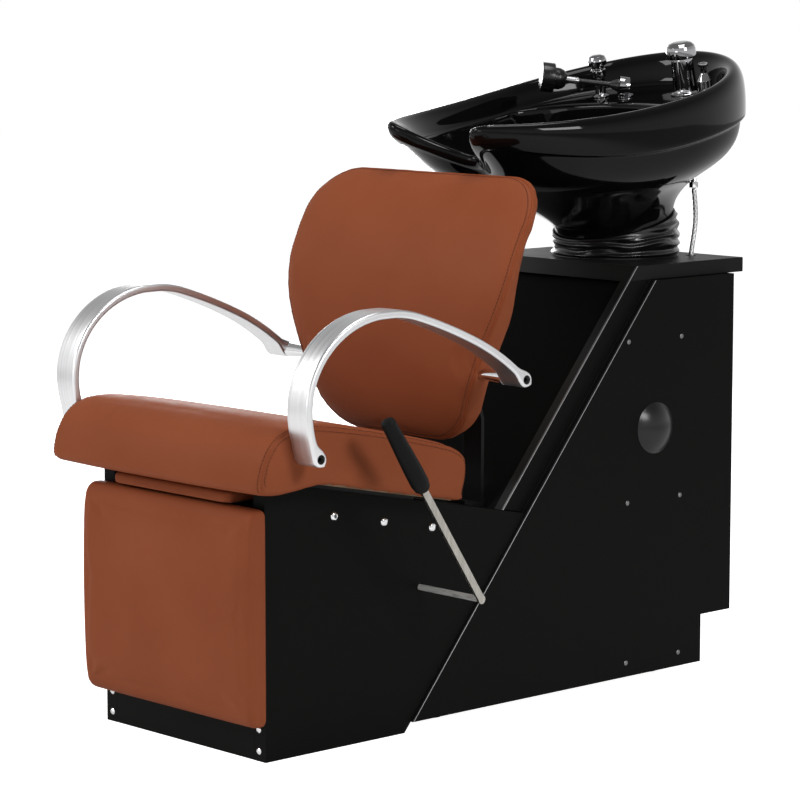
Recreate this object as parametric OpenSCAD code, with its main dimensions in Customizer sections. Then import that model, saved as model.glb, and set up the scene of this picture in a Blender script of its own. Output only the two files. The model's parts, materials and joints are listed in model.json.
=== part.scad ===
// Shampoo backwash unit: a padded chair with a kick-out leg rest, joined to a
// plumbing cabinet that carries a tilting wash bowl. Front faces -Y, floor is Z = 0.
// The origin is the centre of the four floor anchor holes, on the floor.

/* [Chair base] */
// Width over the base side panels
base_w = 364; // [330:1:400]
// Thickness of the base side panels
base_panel = 24; // [18:1:28]
// Height of the base side panels at their front edge
base_h = 400; // [385:1:420]
// Depth of the base on the floor
base_d = 280; // [260:1:310]
// Pitch of the seat and the base's top edge, falling to the back
seat_pitch = 11.3; // [9:0.1:13]
// Height of the kick panel
kick_h = 56; // [40:1:80]
// Thickness of the boards inside the base and cabinet
board_t = 15; // [12:1:18]
// Spacing of the floor anchor holes across the base
anchor_x = 220; // [160:1:240]
// Spacing of the floor anchor holes front to back
anchor_y = 160; // [120:1:180]
// Radius of a floor anchor hole
anchor_r = 5; // [4:0.5:7]

/* [Seat] */
// Width of the seat cushion
seat_w = 480; // [460:1:520]
// Length of the seat cushion along its pitch
seat_l = 394; // [375:1:400]
// Overhang of the seat's nose in front of the base
seat_nose = 57; // [50:1:64]
// Thickness of the seat cushion at its crown
seat_t = 84; // [75:1:95]
// Drop of the seat's front lip below its underside
seat_lip = 25; // [16:1:25]
// Gap between the base's top edge and the seat
seat_gap = 7; // [6:1:12]

/* [Back] */
// Radius of the back's curve, seen from the side
back_r = 380; // [360:1:420]
// Distance of the back's curve centre behind the origin
back_cy = 640; // [625:1:650]
// Height of the back's curve centre
back_cz = 539; // [532:1:546]
// Greatest width of the back
back_w = 500; // [480:1:520]
// Thickness of the back cushion at its edge
back_t = 38; // [34:1:44]
// Thickness of the curved back board
back_board_t = 12; // [9:1:15]

/* [Leg rest] */
// Width of the leg rest pad
rest_w = 380; // [360:1:410]
// Height of the leg rest pad
rest_h = 310; // [290:1:320]
// Drop of the leg rest's upper edge below the base's front edge
rest_drop = 38; // [37:1:44]
// Thickness of the leg rest pad at its crown
rest_t = 27; // [24:1:30]
// Width of the flap between the seat and the leg rest
flap_w = 264; // [220:1:264]
// Length of the leg rest's swinging link, pivot to pivot
kick_l = 170; // [160:1:176]
// Radius of the leg rest linkage's pivots
pivot_r = 5; // [4:0.5:6]
// Thickness of the linkage's steel bars
bar_t = 5; // [4:0.5:5]

/* [Lever] */
// Height of the lever's shaft above the floor
lever_z = 213; // [205:1:222]
// Distance of the lever's shaft behind the origin
lever_y = 157; // [150:1:162]
// Distance of the lever from the middle of the unit
lever_x = 309; // [306:1:330]
// Length of the lever from its shaft to its tip
lever_l = 330; // [300:1:340]
// Lean of the lever to the front
lever_lean = 33.5; // [28:0.5:38]
// Diameter of the lever's grip
grip_d = 27; // [22:1:30]
// Length of the lever's grip
grip_l = 126; // [100:1:140]

/* [Arms] */
// Width of an arm, seen from the front
arm_w = 45; // [38:1:50]
// Thickness of an arm
arm_t = 12; // [10:1:14]
// Height of the arms' top above the base's front edge
arm_rise = 237; // [225:1:250]
// Distance of the arms' front in front of the origin
arm_front = 150; // [140:1:160]

/* [Cabinet] */
// Height of the cabinet's top
cab_h = 654; // [640:1:670]
// Width over the cabinet's inner sides and its top
cab_w = 350; // [330:1:360]
// Distance of the cabinet's back behind the origin
cab_back = 832; // [810:1:850]
// Lean of the cabinet's front edge from upright
cab_lean = 39.7; // [37:0.1:41]
// Thickness of the cabinet's inner sides
side_t = 18; // [15:1:20]
// Thickness of the outer cheeks
cheek_t = 12; // [9:1:15]
// Width of the strip between the inner side's edge and the cheek's edge
edge_strip = 48; // [36:1:54]
// Thickness of the top slab
slab_t = 23; // [18:1:28]
// Overhang of the top slab behind the cabinet
slab_over = 35; // [20:1:45]
// Height of the levelling feet
foot_h = 15; // [12:1:18]
// Height of the notch that clears a skirting board
notch_h = 76; // [60:1:90]
// Depth of that notch
notch_d = 69; // [50:1:80]
// Diameter of the round side covers
dome_d = 80; // [60:1:90]

/* [Bowl] */
// Distance of the bowl's tilt axis behind the origin
bowl_y = 755; // [748:1:758]
// Height of the bowl's tilt axis above the top slab
tilt_h = 36; // [35:1:38]
// Lean of the bowl to the front
bowl_lean = 11; // [10:0.5:12]
// Half width of the bowl's rim
rim_w = 226; // [215:1:232]
// Radius of the bowl's drain
drain_r = 30; // [26:1:33]
// Radius of the tilt pins
tilt_r = 8; // [6:0.5:9]
// Radius of the rubber boot at its ribs
boot_r = 104; // [103:0.5:106]
// Number of ribs round the boot
boot_ribs = 6; // [4:1:8]

/* [Plumbing] */
// Radius of the drain pipe
pipe_r = 20; // [16:1:22]
// Height of the drain pipe and water inlets
pipe_z = 470; // [455:1:480]
// Radius of a water inlet's tail
inlet_r = 10.4; // [9:0.1:11]
// Distance of each supply hose from the middle
hose_x = 100; // [96:1:104]
// Radius of a supply hose
hose_r = 4; // [3.5:0.5:5]

/* [Clearances] */
// Running clearance round a pivot, on the radius
run_gap = 0.05; // [0.02:0.01:0.1]
// Clearance between a cushion and its neighbours
soft_gap = 0.3; // [0.2:0.1:0.6]
// Gap between neighbouring linkage bars
layer_gap = 3; // [2:0.5:3]

/* [Hidden] */
$fn = 48;

base_x = base_w / 2;
base_in = base_x - base_panel;
front_y = -base_d / 2;
rest_z = base_h - rest_drop - rest_h;
arm_top = base_h + arm_rise;
seat_x = seat_w / 2;
cab_x = cab_w / 2;
cab_in = cab_x - side_t;
cheek_x = cab_x + cheek_t;
slab_z = cab_h - slab_t;
trim_t = 1.6;
trim_gap = trim_t + 0.4;
tan_pitch = tan(seat_pitch);
tan_lean = tan(cab_lean);

// Lines of the side view: the base's top edge and the cabinet's leaning edge
function top_z(y) = base_h - (y - front_y) * tan_pitch;
function lean_y(z) = front_y + base_d + (z - foot_h) * tan_lean;
// Where the leaning edge, moved forward by s, meets the base's top edge moved up by d
function meet_z(s, d) =
    (base_h + d - (lean_y(0) - s - front_y) * tan_pitch) / (1 + tan_lean * tan_pitch);
function meet_y(s, d) = lean_y(meet_z(s, d)) - s;

// Extrudes a side view, drawn as (y, z), from x0 to x1
module side_view(x0, x1) {
    translate([x0, 0, 0]) rotate([90, 0, 90]) linear_extrude(x1 - x0) children();
}

// Round bar along X
module cross_rod(r, x0, x1, y, z) {
    translate([x0, y, z]) rotate([0, 90, 0]) cylinder(r = r, h = x1 - x0);
}

module both_sides() {
    children();
    mirror([1, 0, 0]) children();
}

// Flat link with round eyes a little wider than its bar, in a side view
waist = 0.86;
module link_shape(p, q, r) {
    d = q - p;
    translate(p) circle(r);
    translate(q) circle(r);
    translate(p) rotate(atan2(d[1], d[0])) translate([0, -waist * r]) square([norm(d), 2 * waist * r]);
}

// Seat frame of reference: x across, y down the pitch from the base's front edge, z off the edge
module on_seat() {
    translate([0, front_y, base_h]) rotate([-seat_pitch, 0, 0]) children();
}

// Bowl frame of reference: origin on the tilt axis, leaning with the bowl
pivot_z = cab_h + tilt_h;
module on_bowl() {
    translate([0, bowl_y, pivot_z]) rotate([bowl_lean, 0, 0]) children();
}

// Skins a stack of closed rings, which all have the same number of points
function flat(a) = [for (b = a) for (c = b) c];
function middle(ring) = [for (k = [0:2]) sum([for (p = ring) p[k]]) / len(ring)];
function sum(v, i = 0) = i < len(v) ? v[i] + sum(v, i + 1) : 0;

function skin_faces(m, n, wrap) = flat([for (i = [0:m - (wrap ? 1 : 2)]) for (j = [0:n - 1])
    let (a = i * n + j, b = i * n + (j + 1) % n, k = ((i + 1) % m) * n)
    [[a, k + j, b], [b, k + j, k + (j + 1) % n]]]);

module skin_closed(rings) {
    m = len(rings);
    n = len(rings[0]);
    first = m * n;
    points = concat(flat(rings), [middle(rings[0]), middle(rings[m - 1])]);
    caps = [for (j = [0:n - 1]) each [[first, j, (j + 1) % n],
        [first + 1, (m - 1) * n + (j + 1) % n, (m - 1) * n + j]]];
    polyhedron(points, concat(skin_faces(m, n, false), caps));
}

module skin_loop(rings) {
    m = len(rings);
    n = len(rings[0]);
    polyhedron(flat(rings), skin_faces(m, n, true));
}

// Rounded rectangle from (-hw, u0) to (hw, u1), sides drawn in by pull at their middles
corner_n = 6;
edge_n = 4;
function soft_rect(hw, u0, u1, r, pull) = let (
        cs = [[hw - r, u1 - r, 0], [r - hw, u1 - r, 90], [r - hw, u0 + r, 180], [hw - r, u0 + r, 270]])
    flat([for (k = [0:3]) let (c = cs[k], d = cs[(k + 1) % 4], e = c[2] + 90,
            p = [c[0], c[1]] + r * [cos(e), sin(e)], q = [d[0], d[1]] + r * [cos(e), sin(e)])
        concat([for (j = [0:corner_n]) let (a = c[2] + 90 * j / corner_n)
                [c[0], c[1]] + r * [cos(a), sin(a)]],
            [for (j = [1:edge_n - 1]) let (t = j / edge_n)
                p + (q - p) * t - 4 * t * (1 - t) * pull * [cos(e), sin(e)]])]);

// Chair base

module base_side() {
    color("#191918") difference() {
        side_view(base_in, base_x) polygon([[front_y, 0], [front_y, base_h],
            [meet_y(trim_gap, 0), meet_z(trim_gap, 0)], [lean_y(0) - trim_gap, 0]]);
        for (y = bolt_ys) cross_rod(bolt_r + 0.1, base_in - 1, base_x + 1, y, bolt_z(y));
        cross_rod(shaft_r + 1, base_in - 1, base_x + 1, lever_y, lever_z);
        for (z = screw_zs) translate([base_in + screw_in, front_y - 1, z]) rotate([-90, 0, 0])
            cylinder(r = screw_r, h = screw_l + 1);
    }
}

bolt_ys = [-11, 85, 180];
bolt_r = 4;
bolt_drop = 37;
function bolt_z(y) = top_z(y) - bolt_drop;
screw_zs = [15, 46];
screw_in = 10;
screw_r = 2.5;
screw_l = 30;

module base_side_right() {
    base_side();
}

module base_side_left() {
    mirror([1, 0, 0]) base_side();
}

// Chrome domed heads outside, shanks through the panel into the linkage plates
module side_bolts() {
    head_r = 6.5;
    head_h = 4;
    color("#d8d8d8") both_sides() for (y = bolt_ys) {
        cross_rod(bolt_r, plate_x0, base_x + 0.5, y, bolt_z(y));
        translate([base_x, y, bolt_z(y)]) rotate([0, 90, 0]) rotate_extrude()
            polygon([[0, 0], [head_r, 0], [head_r, 1.2], [head_r * 0.8, head_h * 0.75],
                [head_r * 0.45, head_h], [0, head_h]]);
    }
}

module kick_panel() {
    color("#171716") translate([-base_in, front_y, 0]) cube([2 * base_in, side_t, kick_h]);
}

module kick_screws() {
    head_r = 5;
    color("#d8d8d8") both_sides() for (z = screw_zs) translate([base_in + screw_in, front_y, z]) {
        rotate([-90, 0, 0]) cylinder(r = screw_r, h = screw_l);
        rotate([90, 0, 0]) rotate_extrude()
            polygon([[0, 0], [head_r, 0], [head_r, 0.8], [head_r * 0.6, 2.4], [0, 2.8]]);
    }
}

module base_floor() {
    color("#3a342c") difference() {
        translate([-base_in, front_y + side_t, 0])
            cube([2 * base_in, lean_y(0) - front_y - side_t - 20, board_t]);
        for (x = [-1, 1]) for (y = [-1, 1]) translate([x * anchor_x / 2, y * anchor_y / 2, -1])
            cylinder(r = anchor_r, h = board_t + 2);
    }
}

// Sloping board behind the seat, between the base sides
deck_y = 205;
panel_in = 7;
module rear_deck() {
    color("#191918") side_view(-base_in, base_in) polygon([[deck_y, top_z(deck_y)],
        [meet_y(edge_strip - panel_in, 0), meet_z(edge_strip - panel_in, 0)],
        [meet_y(edge_strip - panel_in, -board_t), meet_z(edge_strip - panel_in, -board_t)],
        [deck_y, top_z(deck_y) - board_t]]);
}

// Leg rest linkage: bars stand in layers inside the base, from the plates inwards
plate_x0 = base_in - bar_t;
kick_x0 = plate_x0 - layer_gap - bar_t;
carrier_x0 = kick_x0 - layer_gap - bar_t;
bracket_x0 = carrier_x0 - layer_gap - bar_t;
link_r = 11;
kick_top = [front_y + 65, base_h - 65];
kick_end = kick_top - [0, kick_l];
rest_joint = [front_y + 22, base_h - 110];
crank_l = 70;
lever_c = [lever_y, lever_z];
crank_end = lever_c - [0, crank_l];
drive_end = kick_top - [0, crank_l];
shaft_r = 4.5;
pin_over = 1.2;

// Side plates, bolted to the base sides, with a stub pin for the swinging link
module linkage_plates() {
    plate_drop = 22;
    color("#4a4a4a") both_sides() {
        difference() {
            side_view(plate_x0, base_in) polygon([[kick_top[0] - 22, kick_top[1] - 20],
                [kick_top[0] - 22, kick_top[1] + 18],
                [kick_top[0] + 30, top_z(kick_top[0] + 30) - plate_drop],
                [200, top_z(200) - plate_drop], [205, top_z(205) - 60], [lever_y + 26, lever_z - 20],
                [lever_y - 26, lever_z - 20]]);
            for (y = bolt_ys) cross_rod(bolt_r, plate_x0 - 1, base_in + 1, y, bolt_z(y));
            cross_rod(shaft_r + run_gap, plate_x0 - 1, base_in + 1, lever_y, lever_z);
        }
        cross_rod(pivot_r, kick_x0 - pin_over, plate_x0 + 1, kick_top[0], kick_top[1]);
    }
}

// Square tube across the plates, which carries the flap's guides
rail_y = 10;
rail_s = 25;
guide_z = base_h - 50;
module front_rail() {
    color("#4a4a4a") translate([-plate_x0, rail_y, guide_z - rail_s]) difference() {
        cube([2 * plate_x0, rail_s, rail_s]);
        translate([-1, 2.5, 2.5]) cube([2 * plate_x0 + 2, rail_s - 5, rail_s - 5]);
    }
}

runner_x = 100;
runner_w = 12;
guide_t = 3;
guide_wall = 13;
guide_y0 = front_y + 40;
guide_y1 = 20;
slide_gap = 0.3;
module flap_guides() {
    color("#5a5a5a") both_sides() translate([runner_x, guide_y0, guide_z]) difference() {
        translate([-runner_w / 2 - slide_gap - guide_t, 0, 0])
            cube([runner_w + 2 * slide_gap + 2 * guide_t, guide_y1 - guide_y0, guide_t + guide_wall]);
        translate([-runner_w / 2 - slide_gap, -1, guide_t])
            cube([runner_w + 2 * slide_gap, guide_y1 - guide_y0 + 2, guide_wall + 1]);
    }
}

// Swinging links: from the plates' pins, hanging down at rest
module kick_links() {
    color("#5a5a5a") both_sides() {
        difference() {
            side_view(kick_x0, kick_x0 + bar_t) link_shape(kick_top, kick_end, link_r);
            cross_rod(pivot_r + run_gap, kick_x0 - 1, kick_x0 + bar_t + 1, kick_top[0], kick_top[1]);
        }
        cross_rod(pivot_r, carrier_x0 - pin_over, kick_x0 + 1, kick_end[0], kick_end[1]);
    }
    color("#5a5a5a")
        cross_rod(pivot_r, carrier_x0 - pin_over, kick_x0 + 1, drive_end[0], drive_end[1]);
}

// Tube that makes the two swinging links move as one
tube_drop = 35;
tube_r = 8;
module kick_tube() {
    color("#4a4a4a") difference() {
        cross_rod(tube_r, -kick_x0, kick_x0, kick_top[0], kick_top[1] - tube_drop);
        cross_rod(tube_r - 2, -kick_x0 - 1, kick_x0 + 1, kick_top[0], kick_top[1] - tube_drop);
    }
}

// Carrier links: from the swinging links' ends up to the leg rest's brackets
module carrier_links() {
    color("#6a6a6a") both_sides() difference() {
        side_view(carrier_x0, carrier_x0 + bar_t) link_shape(kick_end, rest_joint, link_r);
        for (p = [kick_end, rest_joint])
            cross_rod(pivot_r + run_gap, carrier_x0 - 1, carrier_x0 + bar_t + 1, p[0], p[1]);
    }
}

// Brackets on the back of the leg rest's board
rest_back = front_y - 1;
module rest_brackets() {
    color("#4a4a4a") both_sides() {
        side_view(bracket_x0, bracket_x0 + bar_t) {
            translate(rest_joint) circle(link_r);
            translate([rest_back, rest_joint[1] - 30]) square([4, 60]);
            translate([rest_back, rest_joint[1] - link_r]) square([rest_joint[0] - rest_back, 2 * link_r]);
        }
        cross_rod(pivot_r, bracket_x0 + 1, carrier_x0 + bar_t + pin_over, rest_joint[0], rest_joint[1]);
        translate([bracket_x0 - 18, rest_back, rest_joint[1] - 30]) cube([19, 4, 60]);
    }
}

rest_board_t = 12;
rest_inset = 9;
module rest_board() {
    color("#6b5236") translate([-rest_w / 2 + rest_inset, rest_back - rest_board_t, rest_z + rest_inset])
        cube([rest_w - 2 * rest_inset, rest_board_t, rest_h - 2 * rest_inset]);
}

// Pad with rolled upper and lower edges, wrapped round the board. Half of its side view, from the board's
// back round to the middle of the front: forward of the board's face, and in from the pad's edge
rest_curve = [[-11, 1.2], [-3, 0], [6, 0.6], [13, 4], [18.5, 11], [22, 24], [25, 60], [26.6, 110]];
rest_side = concat([for (p = rest_curve) [p[0], rest_h - p[1]]], [[27, rest_h / 2]],
    [for (i = [len(rest_curve) - 1:-1:0]) rest_curve[i]]);
rest_steps = [[0, 6], [1.5, 3], [5, 0.8], [14, 0], [60, -0.3]];
function rest_ring(x, k) = [for (p = rest_side)
    [x, rest_back - rest_board_t - (p[0] > 0 ? p[0] - k * p[0] / 27 : p[0]) * rest_t / 27,
        rest_z + rest_h / 2 + (p[1] - rest_h / 2) * (1 - 2 * k / rest_h)]];
module rest_pad() {
    n = len(rest_steps) - 1;
    color("#874b32") difference() {
        skin_closed(concat([for (v = rest_steps) rest_ring(v[0] - rest_w / 2, v[1])], [rest_ring(0, -0.4)],
            [for (i = [n:-1:0]) rest_ring(rest_w / 2 - rest_steps[i][0], rest_steps[i][1])]));
        translate([-rest_w / 2 + rest_inset - soft_gap, rest_back - rest_board_t - soft_gap,
                rest_z + rest_inset - soft_gap])
            cube([rest_w - 2 * (rest_inset - soft_gap), rest_board_t + 20,
                rest_h - 2 * (rest_inset - soft_gap)]);
    }
}

// Flap that slides out to fill the gap in front of the seat
flap_y = front_y - 25;
flap_d = 80;
flap_board_t = 6;
flap_pad_t = 8.5;
flap_lip = 9.5;
flap_wall = 6;
runner_z = 15;
flap_z = guide_z + guide_t + runner_z;
module flap_board() {
    color("#2b2b2b") {
        translate([-flap_w / 2 + flap_wall + soft_gap, flap_y + flap_wall + soft_gap, flap_z])
            cube([flap_w - 2 * (flap_wall + soft_gap), flap_d - flap_wall - 2, flap_board_t]);
        both_sides() translate([runner_x - runner_w / 2, front_y + 20, guide_z + guide_t + slide_gap])
            cube([runner_w, guide_y1 - 5 - front_y - 20, runner_z - slide_gap]);
    }
}

// Pad wrapped over the flap's front and ends
module flap_pad() {
    levels = [[2, -1], [0.3, -0.8], [0, -0.2], [0, 0.35], [1.2, 0.68], [4, 0.9], [10, 1]];
    color("#874b32") difference() {
        skin_closed([for (v = levels) [for (p = soft_rect(flap_w / 2 - v[0], flap_y + v[0],
            flap_y + flap_d - v[0], 12 - v[0] / 2, 0)) [p[0], p[1], flap_z + flap_board_t
                + v[1] * (v[1] < 0 ? flap_lip : flap_pad_t)]]]);
        translate([-flap_w / 2 + flap_wall, flap_y + flap_wall, flap_z - 20])
            cube([flap_w - 2 * flap_wall, flap_d, 20 + flap_board_t + soft_gap]);
    }
}

// Lever: a shaft across the base with a crank inside and a bar outside
module lever_shaft() {
    color("#b9bbbd") {
        cross_rod(shaft_r, -base_in, lever_x - 2, lever_y, lever_z);
        side_view(kick_x0, kick_x0 + bar_t) link_shape(lever_c, crank_end, link_r);
        cross_rod(pivot_r, carrier_x0 - pin_over, kick_x0 + 1, crank_end[0], crank_end[1]);
    }
}

lever_dir = [-sin(lever_lean), cos(lever_lean)];
bar_w = 10;
module lever_bar() {
    color("#b9bbbd") difference() {
        side_view(lever_x - 2.5, lever_x + 2.5)
            link_shape(lever_c, lever_c + lever_dir * (lever_l - 8), bar_w / 2 + 1.5);
        cross_rod(shaft_r, lever_x - 3, lever_x - 2, lever_y, lever_z);
    }
}

module lever_grip() {
    r = grip_d / 2;
    end = lever_c + lever_dir * (lever_l - grip_l);
    color("#1c1c1c") difference() {
        translate([lever_x, end[0], end[1]]) rotate([lever_lean, 0, 0]) rotate_extrude()
            polygon([[0, 0], [r * 0.62, 0], [r * 0.86, 4], [r, 14], [r, 34], [r * 0.92, 70],
                [r * 0.78, grip_l - 12],
                [r * 0.8, grip_l - 6], [r * 0.7, grip_l - 1.5], [r * 0.4, grip_l], [0, grip_l]]);
        side_view(lever_x - 2.6, lever_x + 2.6)
            link_shape(lever_c, lever_c + lever_dir * (lever_l - 8), bar_w / 2 + 1.6);
    }
}

// Rod from the lever's crank to the swinging link
module drive_link() {
    color("#6a6a6a") difference() {
        side_view(carrier_x0, carrier_x0 + bar_t) link_shape(crank_end, drive_end, link_r - 2);
        for (p = [crank_end, drive_end])
            cross_rod(pivot_r + run_gap, carrier_x0 - 1, carrier_x0 + bar_t + 1, p[0], p[1]);
    }
}

// Seat

bearer_l = 270;
module seat_bearers() {
    color("#2b2b2b") both_sides() on_seat() translate([base_in + 2, 20, 0])
        cube([base_panel - 4, bearer_l, seat_gap]);
}

seat_wall = 15;
seat_board_y0 = 4;
seat_board_y1 = seat_l - seat_nose - seat_wall;
arm_block_t = 30;
arm_block_l = 70;
arm_block_h = 34;
arm_bolt_r = 4;
arm_x0 = seat_x + 0.5;
arm_x1 = arm_x0 + arm_w;
arm_end = [arm_front * -0.835, arm_top - 196];

// Board under the cushion, with blocks for the arms' front bolts
module seat_frame() {
    color("#6b5236") difference() {
        union() {
            on_seat() translate([-seat_x + seat_wall, seat_board_y0, seat_gap])
                cube([2 * (seat_x - seat_wall), seat_board_y1 - seat_board_y0, board_t]);
            both_sides() arm_block(0);
        }
        both_sides() cross_rod(arm_bolt_r, seat_x - seat_wall - arm_block_t - 1, seat_x, arm_end[0],
            arm_end[1]);
    }
}

module arm_block(gap) {
    on_seat() translate([seat_x - seat_wall - arm_block_t - gap, seat_board_y0 - 30 - gap,
            seat_gap + board_t - 1])
        cube([arm_block_t + 2 * gap, arm_block_l + 2 * gap, arm_block_h + 1 + gap]);
}

// Side view of the seat: rounded waterfall front with a lip, crowned top, rounded rear edge.
// Each point is a share of the seat's length, and of its thickness above or its lip below the underside
seat_shape = [[0.985, 0], [0.996, 0.08], [1, 0.38], [0.995, 0.66], [0.977, 0.8], [0.94, 0.89], [0.866, 0.945],
    [0.66, 0.99], [0.455, 1], [0.3, 0.98], [0.2, 0.945], [0.116, 0.85], [0.054, 0.66], [0.02, 0.41],
    [0.003, 0.1],
    [0, -0.44], [0.008, -0.84], [0.026, -1], [0.07, -1], [0.12, -0.88], [0.2, -0.5], [0.27, -0.16], [0.33, -0.03],
    [0.7, -0.06]];
// Steps across the seat from its side: distance from the side, and how far the outline draws in there
seat_steps = [[0, 10], [2, 5], [6, 1.8], [14, 0.5], [36, 0], [100, -0.8]];
seat_pull = 3;
function seat_ring(x, k) = let (mid = seat_l / 2 - seat_nose, tall = seat_gap + seat_t / 2)
    [for (p = seat_shape) let (u = p[0] * seat_l - seat_nose,
            w = seat_gap + p[1] * (p[1] > 0 ? seat_t : seat_lip))
        [x - sign(x) * seat_pull * sin(180 * p[0]), mid + (u - mid) * (1 - 2 * k / seat_l),
            tall + (w - tall) * (1 - k / (seat_t / 2 + 8))]];

// Cushion wrapped over its front, with pockets for the board and the arm blocks. Its lip stops at the base,
// and runs out along the two sides that hang over the base
module seat_cushion() {
    n = len(seat_steps) - 1;
    step_y = 14 - seat_nose + 31;
    color("#874b32") difference() {
        on_seat() skin_closed(concat([for (v = seat_steps) seat_ring(v[0] - seat_x, v[1])],
            [seat_ring(0, -1.2)],
            [for (i = [n:-1:0]) seat_ring(seat_x - seat_steps[i][0], seat_steps[i][1])]));
        on_seat() translate([-base_x - 2, step_y, -seat_lip - 20])
            cube([2 * base_x + 4, seat_l, seat_lip + 20 + seat_gap]);
        on_seat() translate([-seat_x - 1, 0.33 * seat_l - seat_nose, -seat_lip - 20])
            cube([2 * seat_x + 2, seat_l, seat_lip + 20 + seat_gap]);
        on_seat() translate([-seat_x + seat_wall - soft_gap, seat_board_y0 - soft_gap, seat_gap - soft_gap])
            cube([2 * (seat_x - seat_wall + soft_gap), seat_board_y1 - seat_board_y0 + 2 * soft_gap,
                board_t + 2 * soft_gap]);
        both_sides() {
            arm_block(soft_gap);
            cross_rod(arm_bolt_r + soft_gap, seat_x - seat_wall - 5, seat_x + 5, arm_end[0], arm_end[1]);
        }
    }
}

// Back

function bend(x, s, n) = let (a = s / back_r * 180 / PI)
    [x, back_cy - (back_r + n) * cos(a), back_cz + (back_r + n) * sin(a)];

// Shield outline of the back, developed flat: x across, s up the curve
back_top = 292;
back_low = -136;
back_mid = 90;
back_x = back_w / 2;
top_corner = 85;
low_corner = 100;
low_flat = 80;
flank_s = 150;
flank_lean = 24.6;
function arc_points(c, r, a0, a1, n) = [for (i = [0:n]) let (a = a0 + (a1 - a0) * i / n)
    c + r * [cos(a), sin(a)]];
half_back = concat([[0, back_top], [(back_x - top_corner) / 2, back_top]],
    arc_points([back_x - top_corner, back_top - top_corner], top_corner, 90, 0, 6),
    arc_points([0, flank_s], back_x, 0, -flank_lean, 4),
    arc_points([low_flat, back_low + low_corner], low_corner, -flank_lean, -90, 6),
    [[low_flat / 2, back_low], [0, back_low]]);
back_line = concat(half_back, [for (i = [len(half_back) - 2:-1:1]) [-half_back[i][0], half_back[i][1]]]);
// The side's depth: full at the bottom, drawn in behind the front edge higher up
function waist_in(s) = 1 / (1 + exp((105 - s) / 26));
function back_ring(inset, n) = [for (p = back_line)
    bend(p[0] * (1 - (inset + max(0, -n) * waist_in(p[1])) / back_x),
        back_mid + (p[1] - back_mid) * (1 - inset / (back_top - back_mid)), n)];

// Steps in from the edge, so that the board and the cushion's rear face bend alike
back_insets = [180, 150, 120, 85, 46];
// The two bent faces differ by a hair between their corners
back_fit = 2;
lug_x0 = 138;
lug_x1 = 156;
arm_rear = [271, arm_top - 119.5];
arm_pin_r = 8;

// Curved board behind the cushion
module back_board() {
    color("#6b5236") skin_closed(concat(
        [for (k = back_insets) back_ring(k, -back_t - back_fit - back_board_t)],
        [for (i = [len(back_insets) - 1:-1:0]) back_ring(back_insets[i], -back_t - back_fit)]));
}

// Block on the board's front that holds an arm's rear pin, inside the cushion
lug_y1 = back_cy - (back_r - back_t - back_fit) - 0.3;
module back_lug(gap) {
    translate([lug_x0 - gap, arm_rear[0] - 9 - gap, arm_rear[1] - 12 - gap])
        cube([lug_x1 - lug_x0 + 2 * gap, lug_y1 - arm_rear[0] + 9 + (gap > 0 ? 6 : 0), 24 + 2 * gap]);
}

module back_cushion() {
    levels = [[18, 1.5 - back_t], [8, 4 - back_t], [2, 9 - back_t], [0, 16 - back_t], [0, -11], [0, -2],
        [4, 3.5], [14, 8.5], [34, 13], [80, 17.5], [140, 20], [180, 20.5]];
    color("#874b32") difference() {
        skin_closed(concat([for (k = back_insets) back_ring(k, -back_t)],
            [for (v = levels) back_ring(v[0], v[1])]));
        both_sides() {
            back_lug(soft_gap);
            cross_rod(arm_pin_r + soft_gap, lug_x1 - 1, back_x, arm_rear[0], arm_rear[1]);
        }
    }
}

// Steel bars that follow the board's back and stand on the rear deck
bracket_t = 6;
back_bar_x = 90;
back_bar_w = 40;
bar_fit = 3;
module back_brackets() {
    r1 = back_r - back_t - back_fit - back_board_t - bar_fit;
    r0 = r1 - bracket_t;
    a0 = -18;
    a1 = 20;
    foot = 40;
    leg = min(back_cy - r0 * cos(a0), meet_y(edge_strip - panel_in, 0) - 1);
    arc = [for (a = [a0:2:a1]) [back_cy, back_cz] + r1 * [-cos(a), sin(a)]];
    arc_back = [for (a = [a1:-2:a0]) [back_cy, back_cz] + r0 * [-cos(a), sin(a)]];
    color("#3a3a3a") both_sides() side_view(back_bar_x, back_bar_x + back_bar_w)
        polygon(concat(arc, arc_back, [[leg, top_z(leg)], [leg - foot, top_z(leg - foot)],
            [leg - foot, top_z(leg - foot) + bracket_t],
            [leg - bracket_t, top_z(leg - bracket_t) + bracket_t]]));
}

// Arms: a bent flat bar, an ellipse at the front running into a long curve to the back

arm_low_b = 140;
arm_mid_z = arm_top - 130;
arm_bow = arm_front - arm_t / 2;
// Three arcs run tangent from the arm's top to its rear end: radii, and the angles where they meet
arm_arcs = [180, 900, 420];
arm_turns = [73, 65.5];
function polar(r, a) = r * [cos(a), sin(a)];
arm_c0 = [8, arm_top - arm_t / 2 - arm_arcs[0]];
arm_c1 = arm_c0 + polar(arm_arcs[0] - arm_arcs[1], arm_turns[0]);
arm_c2 = arm_c1 + polar(arm_arcs[1] - arm_arcs[2], arm_turns[1]);
arm_curve = concat([arm_end], [for (a = [-21:7:0]) [-arm_bow * cos(a), arm_mid_z + arm_low_b * sin(a)]],
    [for (a = [10:10:90]) [-arm_bow * cos(a), arm_mid_z + (arm_top - arm_mid_z - arm_t / 2) * sin(a)]],
    [for (i = [0:4]) arm_c0 + polar(arm_arcs[0], 90 + (arm_turns[0] - 90) * i / 4)],
    [for (i = [1:4]) arm_c1 + polar(arm_arcs[1], arm_turns[0] + (arm_turns[1] - arm_turns[0]) * i / 4)],
    [for (a = [arm_turns[1] - 3:-3:51]) arm_c2 + polar(arm_arcs[2], a)], [arm_rear]);
function unit(v) = v / norm(v);
function curve_normal(c, i) = let (d = unit(c[min(i + 1, len(c) - 1)] - c[max(i - 1, 0)])) [-d[1], d[0]];

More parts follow.
